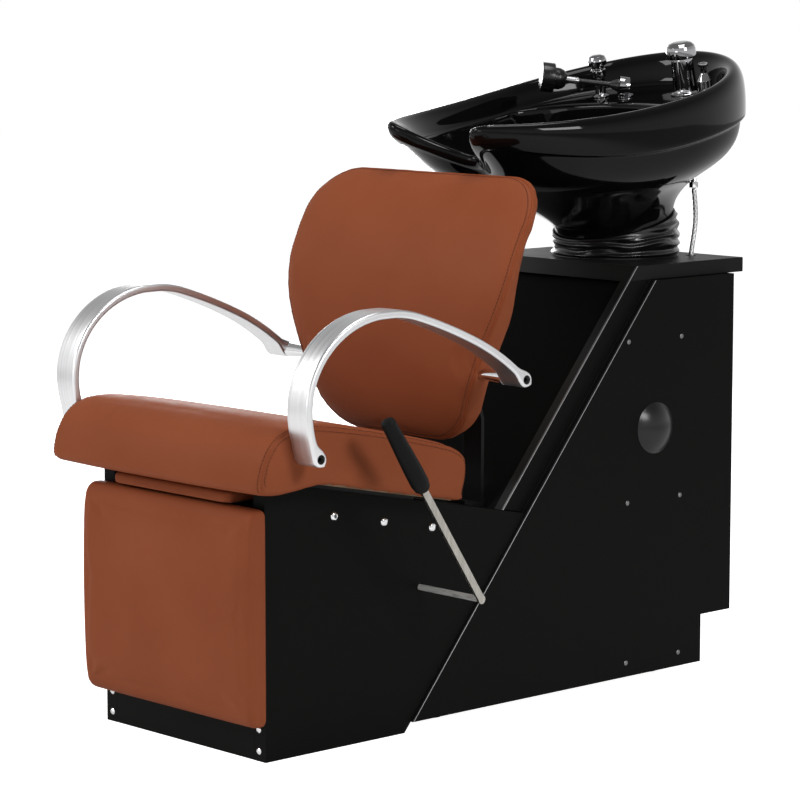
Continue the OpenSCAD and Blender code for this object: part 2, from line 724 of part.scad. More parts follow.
module arm() {
    n = len(arm_curve) - 1;
    boss_r = 11.5;
    color("#b4b5b6") difference() {
        side_view(arm_x0, arm_x1) {
            polygon(concat([for (i = [0:n]) arm_curve[i] + curve_normal(arm_curve, i) * arm_t / 2],
                [for (i = [n:-1:0]) arm_curve[i] - curve_normal(arm_curve, i) * arm_t / 2]));
            for (p = [arm_end, arm_rear]) translate(p) circle(boss_r);
        }
        for (p = [arm_end, arm_rear]) {
            cross_rod(arm_bolt_r + 0.1, arm_x0 - 1, arm_x1 + 1, p[0], p[1]);
            cross_rod(bolt_head_r + 0.3, arm_x1 - bolt_sink, arm_x1 + 1, p[0], p[1]);
        }
    }
}

bolt_head_r = 6.5;
bolt_sink = 9;

module arm_right() {
    arm();
}

module arm_left() {
    mirror([1, 0, 0]) arm();
}

// Socket screws sunk in the arms' ends
module arm_bolts() {
    head_h = 6;
    color("#2a2a2a") both_sides() for (p = [[arm_end, seat_x - seat_wall - arm_block_t + 2],
        [arm_rear, arm_x0]]) {
        x0 = p[1];
        difference() {
            union() {
                cross_rod(arm_bolt_r, x0, arm_x1 - bolt_sink + 1, p[0][0], p[0][1]);
                cross_rod(bolt_head_r, arm_x1 - bolt_sink, arm_x1 - bolt_sink + head_h, p[0][0], p[0][1]);
            }
            translate([arm_x1 - bolt_sink + 2, p[0][0], p[0][1]]) rotate([0, 90, 0])
                cylinder(r = 3.4, h = head_h, $fn = 6);
        }
    }
}

// Pins from the back's blocks to the arms, flared where they meet the arms
pin_flare = 42;
module arm_pins() {
    color("#d8d8d8") both_sides() {
        cross_rod(arm_pin_r, lug_x0 + 2, arm_x0, arm_rear[0], arm_rear[1]);
        translate([arm_x0 - pin_flare, arm_rear[0], arm_rear[1]]) rotate([0, 90, 0])
            cylinder(r1 = arm_pin_r - 0.1, r2 = arm_pin_r + 3, h = pin_flare);
        back_lug(0);
    }
}

// Cabinet

module cabinet_side() {
    side_view(cab_in, cab_x) polygon([[lean_y(foot_h) + trim_gap, foot_h],
        [meet_y(-trim_gap, 0.5), meet_z(-trim_gap, 0.5)], [meet_y(edge_strip, 0.5), meet_z(edge_strip, 0.5)],
        [lean_y(slab_z) - edge_strip, slab_z], [cab_back, slab_z], [cab_back, foot_h + notch_h],
        [cab_back - notch_d, foot_h + notch_h], [cab_back - notch_d, foot_h]]);
}

module cabinet_sides() {
    color("#171716") difference() {
        both_sides() cabinet_side();
        both_sides() cross_rod(dome_stub_r, cab_in - 1, cab_x + 1, dome_c[0], dome_c[1]);
    }
}

module cheek() {
    color("#1a1a19") difference() {
        side_view(cab_x, cheek_x) polygon([[lean_y(foot_h), foot_h], [lean_y(slab_z), slab_z],
            [cab_back, slab_z], [cab_back, foot_h + notch_h], [cab_back - notch_d, foot_h + notch_h],
            [cab_back - notch_d, foot_h]]);
        cross_rod(dome_stub_r, cab_x - 1, cheek_x + 1, dome_c[0], dome_c[1]);
        for (p = cap_places) cross_rod(cap_r - 0.5, cheek_x - 3, cheek_x + 1, p[0], p[1]);
    }
}

dome_c = [652, 401];
dome_stub_r = 30;
cap_r = 4;
cap_places = [for (z = [540, 289, 37]) for (y = [591, 711]) [y, z]];

module cheek_right() {
    cheek();
}

module cheek_left() {
    mirror([1, 0, 0]) cheek();
}

// Bright strips along the leaning edges
module edge_trims() {
    color("#c9cacb") {
        both_sides() side_view(cab_in, cab_x) polygon([
            [meet_y(edge_strip, 0.5), meet_z(edge_strip, 0.5)],
            [lean_y(slab_z) - edge_strip, slab_z], [lean_y(slab_z) - edge_strip - trim_t, slab_z],
            [meet_y(edge_strip + trim_t, 0.5), meet_z(edge_strip + trim_t, 0.5)]]);
        side_view(-cab_x, cab_x) polygon([[lean_y(slab_z) - edge_strip, slab_z],
            [lean_y(cab_h) - edge_strip, cab_h], [lean_y(cab_h) - edge_strip - trim_t, cab_h],
            [lean_y(slab_z) - edge_strip - trim_t, slab_z]]);
        both_sides() side_view(cab_x, cheek_x) polygon([[lean_y(foot_h), foot_h],
            [lean_y(slab_z), slab_z], [lean_y(slab_z) - trim_t, slab_z], [lean_y(foot_h) - trim_t, foot_h]]);
    }
}

module slant_panel() {
    t = board_t / cos(cab_lean);
    s = edge_strip - panel_in;
    color("#141413") side_view(-cab_in, cab_in) polygon([[meet_y(s, -board_t), meet_z(s, -board_t)],
        [lean_y(slab_z) - s, slab_z], [lean_y(slab_z) - s + t, slab_z],
        [meet_y(s, -board_t) + t, meet_z(s, -board_t)]]);
}

slab_hole_r = 46;
hose_hole_r = 8;
module top_slab() {
    color("#191918") difference() {
        side_view(-cab_x, cab_x) polygon([[lean_y(slab_z) - edge_strip, slab_z],
            [lean_y(cab_h) - edge_strip, cab_h], [cab_back + slab_over, cab_h],
            [cab_back + slab_over, slab_z]]);
        translate([0, bowl_y, slab_z - 1]) cylinder(r = slab_hole_r, h = slab_t + 2);
        for (x = [-hose_x, hose_x]) translate([x, hose_slab_y, slab_z - 1])
            cylinder(r = hose_hole_r, h = slab_t + 2);
    }
}

floor_back = 12;
module cabinet_floor() {
    color("#3a342c") translate([-cab_in, lean_y(foot_h) + 40, foot_h])
        difference() {
            cube([2 * cab_in, cab_back - notch_d - floor_back - lean_y(foot_h) - 40, board_t]);
            for (p = foot_places) translate([p[0] + cab_in, p[1] - lean_y(foot_h) - 40, -1])
                cylinder(r = foot_stud_r, h = board_t + 2);
        }
}

foot_stud_r = 5;
foot_places = [for (x = [-1, 1]) for (y = [lean_y(foot_h) + 90, cab_back - notch_d - 60])
    [x * (cab_in - 35), y]];
module levelling_feet() {
    color("#1c1c1c") for (p = foot_places) translate([p[0], p[1], 0]) rotate_extrude()
        polygon([[0, 0], [20, 0], [20, 4], [9, foot_h], [foot_stud_r, foot_h],
            [foot_stud_r, foot_h + board_t - 2], [0, foot_h + board_t - 2]]);
}

module side_domes() {
    r = dome_d / 2;
    rise = 9;
    ball = (r * r + rise * rise) / (2 * rise);
    color("#161616") both_sides() translate([cheek_x, dome_c[0], dome_c[1]]) rotate([0, 90, 0]) {
        rotate_extrude() polygon(concat([[0, 0]], [for (i = [0:10]) let (a = asin(r / ball) * (1 - i / 10))
            [ball * sin(a), ball * cos(a) - ball + rise]]));
        translate([0, 0, -cheek_t - 4]) difference() {
            cylinder(r = dome_stub_r - 0.2, h = cheek_t + 4.5);
            translate([0, 0, -1]) cylinder(r = dome_stub_r - 3, h = cheek_t + 4);
        }
    }
}

module screw_caps() {
    color("#202020") both_sides() for (p = cap_places) translate([cheek_x, p[0], p[1]]) rotate([0, 90, 0]) {
        rotate_extrude() polygon([[0, 0], [cap_r, 0], [cap_r * 0.7, 1], [0, 1.3]]);
        translate([0, 0, -2.8]) cylinder(r = cap_r - 0.6, h = 3);
    }
}

rail_back = 12;
rail_h = 90;
module rear_rail() {
    color("#3a342c") difference() {
        translate([-cab_in, cab_back - rail_back - side_t, pipe_z - rail_h / 2])
            cube([2 * cab_in, side_t, rail_h]);
        for (p = [[0, pipe_r - spigot_step], [-hose_x, inlet_r - tail_step], [hose_x, inlet_r - tail_step]])
            translate([p[0], cab_back - rail_back - side_t - 1, pipe_z]) rotate([-90, 0, 0])
                cylinder(r = p[1] + 0.2, h = side_t + 2);
    }
}

// Bowl

ear_x = 60;
ear_t = 8;
lug_t = 8;
bracket_plate_t = 5;
module tilt_bracket() {
    color("#5a5a5a") {
        difference() {
            translate([-75, bowl_y - 55, cab_h]) cube([150, 110, bracket_plate_t]);
            translate([0, bowl_y, cab_h - 1]) cylinder(r = slab_hole_r, h = bracket_plate_t + 2);
        }
        both_sides() {
            side_view(ear_x, ear_x + ear_t) {
                translate([bowl_y, pivot_z]) circle(tilt_r + 6);
                translate([bowl_y - 25, cab_h + 1]) square([50, 10]);
                translate([bowl_y - tilt_r - 6, cab_h + 1]) square([2 * tilt_r + 12, tilt_h - 1]);
            }
            cross_rod(tilt_r, ear_x - lug_t - 3, ear_x + 1, bowl_y, pivot_z);
        }
    }
}

// Plate inside the bowl's foot, with lugs that turn on the bracket's pins
plate_z = 17;
module tilt_plate() {
    color("#4a4a4a") on_bowl() {
        difference() {
            translate([0, 0, plate_z]) cylinder(r = skirt_in - 0.6, h = 6);
            translate([0, 0, plate_z - 1]) cylinder(r = 26, h = 8);
        }
        both_sides() difference() {
            side_view(ear_x - lug_t - 2, ear_x - 2) {
                circle(tilt_r + 5);
                translate([-tilt_r - 5, 0]) square([2 * tilt_r + 10, plate_z + 1]);
            }
            cross_rod(tilt_r + run_gap, ear_x - lug_t - 3, ear_x - 1, 0, 0);
        }
    }
}

// One ring of the bowl: half width w, reach to the back b and to the front f from centre c,
// height at the sides h, at the back hb and at the front hf, and the neck rest's cut back and down
bowl_n = 56;
skirt_in = 84;
neck_half = 100;
function bowl_ring(w, b, f, c, h, hb, hf, cut, dip) = [for (i = [0:bowl_n - 1])
    let (a = 360 * i / bowl_n, k = cos(a), x = w * sin(a),
        scoop = k < 0 && abs(x) < neck_half ? pow(cos(90 * x / neck_half), 2) : 0)
    [x, c + (k > 0 ? b : f) * k + cut * scoop,
        h + (k > 0 ? hb - h : hf - h) * k * k - dip * scoop]];
function bowl_round(r, h) = bowl_ring(r, r, r, 0, h, h, h, 0, 0);

module wash_bowl() {
    rw = rim_w / 226;
    color("#0c0c0d") on_bowl() skin_loop([
        bowl_round(94, -8), bowl_round(96, 24), bowl_ring(99, 98, 102, 0, 31, 31, 31, 0, 0),
        bowl_ring(111, 108, 122, -6, 50, 52, 54, 0, 0),
        bowl_ring(141 * rw, 163, 185, -24, 77, 76, 106, 0, 0),
        bowl_ring(173 * rw, 205, 238, -26, 94, 92, 138, 12, 4),
        bowl_ring(198 * rw, 236, 288, -26, 110, 106, 168, 44, 24),
        bowl_ring(213 * rw, 255, 318, -26, 133, 128, 204, 76, 50),
        bowl_ring(218 * rw, 260, 344, -26, 158, 153, 230, 100, 66),
        bowl_ring(224 * rw, 272, 358, -26, 163, 159, 236, 110, 72),
        bowl_ring(226 * rw, 279, 374, -26, 190, 196, 246, 122, 77),
        bowl_ring(224 * rw, 278, 380, -26, 215, 228, 257, 127, 80),
        bowl_ring(216 * rw, 269, 380, -26, 229, 244, 267, 129, 82),
        bowl_ring(206 * rw, 258, 374, -26, 231, 247, 268, 126, 81),
        bowl_ring(197 * rw, 243, 357, -26, 222, 238, 256, 117, 74),
        bowl_ring(190 * rw, 234, 345, -26, 200, 200, 240, 108, 68),
        bowl_ring(186 * rw, 230, 338, -26, 195, 195, 232, 102, 64),
        bowl_ring(182 * rw, 92, 326, -26, 195, 195, 224, 94, 58),
        bowl_ring(176 * rw, 90, 312, -26, 150, 188, 208, 82, 46),
        bowl_ring(160 * rw, 88, 270, -26, 112, 120, 172, 56, 24),
        bowl_ring(120, 80, 190, -22, 76, 76, 112, 10, 0),
        bowl_ring(66, 58, 84, -12, 56, 56, 62, 0, 0),
        bowl_round(drain_r, 50), bowl_round(drain_r, 38), bowl_round(skirt_in, 34),
        bowl_round(skirt_in, -8)]);
}

// Ribbed rubber boot, level on the slab and leaning with the bowl at its top
boot_n = 32;
boot_wall = 3;
boot_low = -tilt_h + 0.2;
boot_high = 24;
function boot_ring(r, f) = let (t = bowl_lean * f, h = boot_low + (boot_high - boot_low) * f)
    [for (i = [0:boot_n - 1]) let (a = 360 * i / boot_n, y = r * cos(a), x = r * sin(a))
        [x, bowl_y + y * cos(t) - h * sin(t), pivot_z + y * sin(t) + h * cos(t)]];
module bowl_boot() {
    steps = 2 * boot_ribs;
    rib = 4;
    color("#101010") skin_loop(concat(
        [for (i = [0:steps]) boot_ring(i % 2 == 0 ? boot_r - rib : boot_r, i / steps)],
        [for (i = [4:-1:0]) boot_ring(boot_r - rib - boot_wall + 0.6, i / 4)]));
}

// Chrome strainer in the drain, with its tail down through the tilt plate
tail_r = 20;
tail_low = -18;
module drain_strainer() {
    color("#d0d0d0") on_bowl() {
        difference() {
            union() {
                translate([0, 0, 38]) cylinder(r = drain_r - 0.6, h = 12.5);
                translate([0, 0, tail_low]) cylinder(r = tail_r, h = 58);
            }
            translate([0, 0, tail_low - 1]) cylinder(r = tail_r - 2.5, h = 62);
            translate([0, 0, 43]) cylinder(r = drain_r - 5, h = 10);
        }
        for (a = [0, 60, 120]) rotate(a) translate([-tail_r + 1.5, -1.5, 41]) cube([2 * tail_r - 3, 3, 2.5]);
    }
}

// Ribbed drain hose between the bowl's tail and the fixed pipe
hose_top = pivot_z - 26;
hose_low = pipe_z + 48;
drain_ribs = 10;
module drain_hose() {
    step = (hose_top - hose_low) / (2 * drain_ribs);
    color("#2a2a2a") translate([0, bowl_y, 0]) rotate_extrude($fn = 40)
        polygon(concat(
            [for (i = [0:2 * drain_ribs]) [tail_r + (i % 2 == 0 ? 1.5 : 4.5), hose_low + i * step]],
            [[tail_r - 1, hose_top], [tail_r - 1, hose_low]]));
}

// Drain pipe: an elbow under the hose, out through the rear rail to a slightly wider spigot
pipe_out = 18;
spigot_y = cab_back - rail_back + 4;
spigot_step = 1;
tail_step = 0.8;
module drain_pipe() {
    color("#8a8a88") difference() {
        union() {
            translate([0, bowl_y, pipe_z]) cylinder(r = pipe_r, h = hose_low - pipe_z);
            translate([0, bowl_y, hose_low - 16]) cylinder(r = pipe_r + 5, h = 16);
            translate([0, bowl_y, pipe_z]) sphere(r = pipe_r);
            translate([0, bowl_y, pipe_z]) rotate([-90, 0, 0])
                cylinder(r = pipe_r - spigot_step, h = spigot_y + 1 - bowl_y);
            translate([0, spigot_y, pipe_z]) rotate([-90, 0, 0])
                cylinder(r = pipe_r, h = cab_back + pipe_out - spigot_y);
        }
        translate([0, bowl_y, pipe_z]) cylinder(r = pipe_r - 3, h = hose_low - pipe_z + 1);
        translate([0, bowl_y, pipe_z]) sphere(r = pipe_r - 3);
        translate([0, bowl_y, pipe_z]) rotate([-90, 0, 0])
            cylinder(r = pipe_r - 3, h = cab_back + pipe_out - bowl_y + 1);
    }
}

// Braided supply hoses, from the inlets up through the slab to the bowl
hose_slab_y = 826;
hose_sides = 10;
hose_route = [[778, pipe_z + 41], [778, pipe_z + 56], [780, pipe_z + 72], [786, pipe_z + 90],
    [797, pipe_z + 108],
    [809, pipe_z + 125], [819, pipe_z + 141], [825, slab_z - 3], [826, slab_z + 12], [827, cab_h + 6],
    [831, pivot_z - 10], [835, pivot_z + 12], [836, pivot_z + 32], [834, pivot_z + 54], [831, pivot_z + 72]];
function hose_ring(i) = let (n = curve_normal(hose_route, i))
    [for (j = [0:hose_sides - 1]) let (a = 360 * j / hose_sides)
        [hose_x + hose_r * cos(a), hose_route[i][0] + hose_r * sin(a) * n[0],
            hose_route[i][1] + hose_r * sin(a) * n[1]]];
module supply_hose() {
    color("#b9bbbd") skin_closed([for (i = [0:len(hose_route) - 1]) hose_ring(i)]);
}

module supply_hose_right() {
    supply_hose();
}

module supply_hose_left() {
    mirror([1, 0, 0]) supply_hose();
}

module hose_nuts() {
    last = hose_route[len(hose_route) - 1];
    color("#d0d0d0") for (x = [-hose_x, hose_x]) translate([x, last[0], last[1] + 0.75]) {
        cylinder(r = 7.5, h = 9, $fn = 6);
        cylinder(r = 5, h = 14.75);
    }
}

// Brass tails through the rear rail, with an elbow up to each hose
inlet_out = 14;
module water_inlets() {
    first = hose_route[0];
    color("#b08d57") for (x = [-hose_x, hose_x]) {
        translate([x, first[0], pipe_z]) rotate([-90, 0, 0])
            cylinder(r = inlet_r - tail_step, h = spigot_y + 1 - first[0]);
        translate([x, spigot_y, pipe_z]) rotate([-90, 0, 0])
            cylinder(r = inlet_r, h = cab_back + inlet_out - spigot_y);
        translate([x, cab_back - rail_back - side_t - 8, pipe_z]) rotate([-90, 0, 0])
            cylinder(r = inlet_r + 5, h = 8, $fn = 6);
        translate([x, first[0], pipe_z]) sphere(r = inlet_r - tail_step);
        translate([x, first[0], pipe_z]) cylinder(r = 7, h = first[1] - pipe_z - 0.3);
        translate([x, first[0], pipe_z + 20]) cylinder(r = 9, h = 12, $fn = 6);
    }
}

// Fittings on the bowl's rear deck
deck_h = 195.3;
mixer_c = [50, 150];
mixer_r = 19.5;
mixer_h = 58;
module mixer_body() {
    color("#d0d0d0") on_bowl() translate([mixer_c[0], mixer_c[1], deck_h]) rotate_extrude()
        polygon([[0, 0], [mixer_r + 5, 0], [mixer_r + 5, 2], [mixer_r + 1, 5], [mixer_r, 8],
            [mixer_r - 2, mixer_h], [8, mixer_h], [8, mixer_h + 12], [0, mixer_h + 12]]);
}

module mixer_cap() {
    r = 24;
    color("#d0d0d0") on_bowl() translate([mixer_c[0], mixer_c[1], deck_h + mixer_h + 0.4]) rotate_extrude()
        polygon([[8 + run_gap, 0], [r - 1, 0], [r, 1.5], [r, 14], [r - 1.5, 19], [r - 6, 23.5],
            [r - 12, 25.5], [0, 26], [0, 12.4], [8 + run_gap, 12.4]]);
}

breaker_c = [-100, 110];
module vacuum_breaker() {
    color("#d0d0d0") on_bowl() {
        translate([breaker_c[0], breaker_c[1], deck_h]) rotate_extrude()
            polygon([[0, 0], [15, 0], [15, 2], [9, 5], [9, 30], [12, 33], [12, 44], [10, 46], [10, 50],
                [15, 52], [15.5, 60], [13, 66], [7, 68.5], [0, 69]]);
        translate([100, 143, deck_h]) rotate_extrude()
            polygon([[0, 0], [14, 0], [14, 3], [12, 6], [12, 24], [8, 31], [5, 36], [5, 46], [8, 47],
                [8, 52], [0, 54]]);
    }
}

// Hand spray, resting in a ring beside the vacuum breaker and sliding out along its own length
spray_c = [-50, 113, 213];
spray_turn = 40;
spray_rise = 15;
spray_l = 136;
head_l = 42;
ring_in = 11;
module on_spray() {
    on_bowl() translate(spray_c) rotate([90 - spray_rise, 0, -spray_turn]) children();
}

module spray_holder() {
    color("#d0d0d0") {
        on_spray() difference() {
            translate([0, 0, -8]) cylinder(r = ring_in + 4, h = 16);
            translate([0, 0, -9]) cylinder(r = ring_in, h = 18);
        }
        difference() {
            on_bowl() translate([spray_c[0], spray_c[1] + 2, deck_h]) rotate_extrude()
                polygon([[0, 0], [13, 0], [13, 2], [8, 4], [8, 12], [0, 12]]);
            on_spray() translate([0, 0, -30]) cylinder(r = ring_in + 2, h = 60);
        }
    }
}

module spray_tube() {
    grip_r = ring_in - 0.3;
    color("#1a1a1a") on_spray() rotate_extrude()
        polygon([[0, -7], [grip_r - 2, -7], [grip_r, -5], [grip_r, 9], [grip_r - 3, 16], [4.5, 24],
            [4, spray_l - head_l - 21], [5.5, spray_l - head_l - 19], [5.5, spray_l - head_l],
            [0, spray_l - head_l]]);
}

module spray_head() {
    head_r = 24;
    disc = 21;
    color("#161616") on_spray() translate([0, 0, spray_l - head_l]) rotate_extrude()
        polygon([[0, 0], [7, 0], [11.5, 2], [15, 6], [17.3, 12], [17.8, head_l - disc],
            [head_r - 1, head_l - disc],
            [head_r, head_l - disc + 1], [head_r, head_l - 1.5], [head_r - 1.5, head_l], [0, head_l]]);
}

base_side_left();
base_side_right();
kick_panel();
base_floor();
rear_deck();
side_bolts();
kick_screws();
linkage_plates();
front_rail();
flap_guides();
seat_bearers();
seat_frame();
seat_cushion();
back_board();
back_cushion();
back_brackets();
arm_left();
arm_right();
arm_bolts();
arm_pins();
kick_links();
kick_tube();
carrier_links();
rest_brackets();
rest_board();
rest_pad();
flap_board();
flap_pad();
lever_shaft();
lever_bar();
lever_grip();
drive_link();
cabinet_sides();
cheek_left();
cheek_right();
edge_trims();
slant_panel();
top_slab();
cabinet_floor();
levelling_feet();
side_domes();
screw_caps();
rear_rail();
tilt_bracket();
tilt_plate();
bowl_boot();
wash_bowl();
drain_strainer();
drain_hose();
drain_pipe();
supply_hose_left();
supply_hose_right();
hose_nuts();
water_inlets();
mixer_body();
mixer_cap();
vacuum_breaker();
spray_holder();
spray_tube();
spray_head();
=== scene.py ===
import bpy
import json
import math
from mathutils import Matrix, Vector, kdtree, noise
from mathutils.bvhtree import BVHTree


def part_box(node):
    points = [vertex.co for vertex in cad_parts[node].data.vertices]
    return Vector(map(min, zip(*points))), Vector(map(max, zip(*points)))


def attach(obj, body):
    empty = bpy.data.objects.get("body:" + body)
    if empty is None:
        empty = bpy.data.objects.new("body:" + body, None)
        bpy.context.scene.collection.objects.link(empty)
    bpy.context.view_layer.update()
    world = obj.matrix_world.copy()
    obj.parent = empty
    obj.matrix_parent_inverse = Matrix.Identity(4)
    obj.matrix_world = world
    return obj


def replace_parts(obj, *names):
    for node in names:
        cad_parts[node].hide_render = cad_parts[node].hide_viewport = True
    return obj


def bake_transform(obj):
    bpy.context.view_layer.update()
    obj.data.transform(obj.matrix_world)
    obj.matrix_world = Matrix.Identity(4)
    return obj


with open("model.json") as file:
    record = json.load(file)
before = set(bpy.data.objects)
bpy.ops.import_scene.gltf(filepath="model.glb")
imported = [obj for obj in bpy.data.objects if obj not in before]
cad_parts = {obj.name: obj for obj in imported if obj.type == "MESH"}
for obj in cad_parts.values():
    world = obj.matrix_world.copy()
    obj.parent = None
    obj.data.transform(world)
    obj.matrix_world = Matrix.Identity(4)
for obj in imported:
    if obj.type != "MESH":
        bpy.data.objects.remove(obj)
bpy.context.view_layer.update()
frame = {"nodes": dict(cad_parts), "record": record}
cad = frame["nodes"]
print("frame loaded:", len(cad), "nodes")


# selection and modifiers

mergeGap = 0.00001


def pickOnly(piece):
    if bpy.context.object and bpy.context.object.mode != "OBJECT":
        bpy.ops.object.mode_set(mode="OBJECT")
    bpy.ops.object.select_all(action="DESELECT")
    if piece:
        piece.select_set(True)
        bpy.context.view_layer.objects.active = piece


def applyAll(piece):
    pickOnly(piece)
    for modifier in list(piece.modifiers):
        bpy.ops.object.modifier_apply(modifier=modifier.name)


def tidyMesh(piece):
    pickOnly(piece)
    bpy.ops.object.mode_set(mode="EDIT")
    bpy.ops.mesh.select_all(action="SELECT")
    bpy.ops.mesh.remove_doubles(threshold=mergeGap)
    bpy.ops.mesh.normals_make_consistent(inside=False)
    bpy.ops.object.mode_set(mode="OBJECT")


def smoothShade(piece, angle=None):
    pickOnly(piece)
    if angle is None:
        bpy.ops.object.shade_smooth()
    else:
        bpy.ops.object.shade_smooth_by_angle(angle=math.radians(angle))


def subdivide(piece, levels):
    modifier = piece.modifiers.new("rounder", "SUBSURF")
    modifier.levels = modifier.render_levels = levels
    applyAll(piece)


# a grid primitive, wrapped round so that each of its rows becomes one ring of a skin
def skinRings(name, rings, closed=False):
    rows = rings + [rings[0]] if closed else rings
    count = len(rings[0])
    pickOnly(None)
    bpy.ops.mesh.primitive_grid_add(x_subdivisions=count, y_subdivisions=len(rows) - 1, size=2)
    piece = bpy.context.object
    piece.name = piece.data.name = name
    order = sorted(piece.data.vertices, key=lambda v: (round(v.co.y, 5), round(v.co.x, 5)))
    for number, vertex in enumerate(order):
        row, column = divmod(number, count + 1)
        vertex.co = rows[row][column % count]
    tidyMesh(piece)
    return piece


def inMetres(x, y, z):
    return Vector((x, y, z)) / 1000


def arcLengths(points):
    run = [0.0]
    for a, b in zip(points, points[1:]):
        run.append(run[-1] + (b - a).length)
    return run


def joinPieces(pieces, name):
    pickOnly(pieces[0])
    for piece in pieces:
        piece.select_set(True)
    bpy.ops.object.join()
    bpy.context.object.name = bpy.context.object.data.name = name
    return bpy.context.object


# materials

def newFinish(name, rough, metal=0.0, specular=0.5, color=None):
    material = bpy.data.materials.new(name)
    material.use_nodes = True
    shader = material.node_tree.nodes["Principled BSDF"]
    shader.inputs["Roughness"].default_value = rough
    shader.inputs["Metallic"].default_value = metal
    shader.inputs["Specular IOR Level"].default_value = specular
    if color:
        shader.inputs["Base Color"].default_value = (*color, 1)
    return material, shader


def addNode(material, kind, **values):
    node = material.node_tree.nodes.new(kind)
    for key, value in values.items():
        if hasattr(node, key):
            setattr(node, key, value)
        else:
            node.inputs[key.replace("_", " ")].default_value = value
    return node


def wire(material, source, output, target, socket):
    material.node_tree.links.new(source.outputs[output], target.inputs[socket])


def objectPlace(material, stretch=(1, 1, 1)):
    place = addNode(material, "ShaderNodeTexCoord")
    mapping = addNode(material, "ShaderNodeMapping")
    mapping.inputs["Scale"].default_value = stretch
    wire(material, place, "Object", mapping, "Vector")
    return mapping


def cloud(material, place, scale, detail=3.0, rough=0.5):
    node = addNode(material, "ShaderNodeTexNoise", Scale=scale, Detail=detail, Roughness=rough)
    wire(material, place, "Vector", node, "Vector")
    return node


# noise values seldom leave this span
noiseSpan = (0.3, 0.7)


def ramp(material, source, output, low, high, start=noiseSpan[0], end=noiseSpan[1]):
    node = addNode(material, "ShaderNodeValToRGB")
    node.color_ramp.elements[0].position = start
    node.color_ramp.elements[1].position = end
    node.color_ramp.elements[0].color = (*low, 1)
    node.color_ramp.elements[1].color = (*high, 1)
    wire(material, source, output, node, "Fac")
    return node


def spreadRoughness(material, source, low, high, shader):
    node = addNode(material, "ShaderNodeMapRange")
    node.inputs["From Min"].default_value, node.inputs["From Max"].default_value = noiseSpan
    node.inputs["To Min"].default_value = low
    node.inputs["To Max"].default_value = high
    wire(material, source, "Fac", node, "Value")
    wire(material, node, "Result", shader, "Roughness")


def relief(material, shader, source, output, strength, depth, under=None):
    node = addNode(material, "ShaderNodeBump", Strength=strength, Distance=depth)
    wire(material, source, output, node, "Height")
    if under:
        wire(material, under, "Normal", node, "Normal")
    wire(material, node, "Normal", shader, "Normal")
    return node


hide = {"specular": 0.045, "mid": 0.55, "rough": (0.5, 0.62), "toneScale": 7, "creaseScale": 45,
        "pebbleScale": 620.0, "crease": (0.12, 0.0012), "pebble": (0.16, 0.0005)}


def makeLeather(name, dark, light):
    material, shader = newFinish(name, hide["mid"], specular=hide["specular"])
    place = objectPlace(material)
    tone = cloud(material, place, hide["toneScale"], 4)
    color = ramp(material, tone, "Fac", dark, light, 0.25, 0.75)
    wire(material, color, "Color", shader, "Base Color")
    pebble = addNode(material, "ShaderNodeTexVoronoi", Scale=hide["pebbleScale"], Randomness=1.0)
    wire(material, place, "Vector", pebble, "Vector")
    crease = cloud(material, place, hide["creaseScale"], 5, 0.6)
    spreadRoughness(material, crease, *hide["rough"], shader)
    base = relief(material, shader, crease, "Fac", *hide["crease"])
    relief(material, shader, pebble, "Distance", *hide["pebble"], base)
    return material


coat = {"toneScale": 5, "uneven": 0.14, "grainScale": 1500, "grain": (0.16, 0.0003), "rougher": (-0.05, 0.06)}


def makeBoardFinish(name, color, rough, specular):
    material, shader = newFinish(name, rough, specular=specular)
    place = objectPlace(material)
    tone = cloud(material, place, coat["toneScale"], 4)
    shade = ramp(material, tone, "Fac", [c * (1 - coat["uneven"]) for c in color],
                 [c * (1 + coat["uneven"]) for c in color])
    wire(material, shade, "Color", shader, "Base Color")
    grain = cloud(material, place, coat["grainScale"], 2, 0.6)
    spreadRoughness(material, tone, rough + coat["rougher"][0], rough + coat["rougher"][1], shader)
    relief(material, shader, grain, "Fac", *coat["grain"])
    return material


def makeMetal(name, low, high, rough, stretch, scale, dent=0.05, specular=0.5, metal=1.0):
    material, shader = newFinish(name, rough, metal, specular)
    place = objectPlace(material, stretch)
    streak = cloud(material, place, scale, 3, 0.55)
    color = ramp(material, streak, "Fac", low, high)
    wire(material, color, "Color", shader, "Base Color")
    spreadRoughness(material, streak, rough * 0.8, rough * 1.2, shader)
    relief(material, shader, streak, "Fac", dent, 0.0002)
    return material


def makeWood(name):
    material, shader = newFinish(name, 0.62, specular=0.3)
    place = objectPlace(material, (1, 9, 9))
    ring = addNode(material, "ShaderNodeTexWave", Scale=2.2, Distortion=2.4, Detail=3.0,
                   bands_direction="Z")
    wire(material, place, "Vector", ring, "Vector")
    color = ramp(material, ring, "Fac", (0.24, 0.15, 0.085), (0.36, 0.24, 0.145), 0.1, 0.9)
    wire(material, color, "Color", shader, "Base Color")
    relief(material, shader, ring, "Fac", 0.1, 0.0006)
    return material


def brightWhere(material, shader, mask):
    color = ramp(material, mask, "Value", (0.007, 0.007, 0.0065), (0.42, 0.42, 0.43), 0.4, 0.6)
    wire(material, color, "Color", shader, "Base Color")
    wire(material, mask, "Value", shader, "Metallic")


# black edging, bright on its inner bead and its outer arris, told apart by distance from the middle
edging = {"bead": 0.1739, "halfBead": 0.0017, "arris": 0.1842}


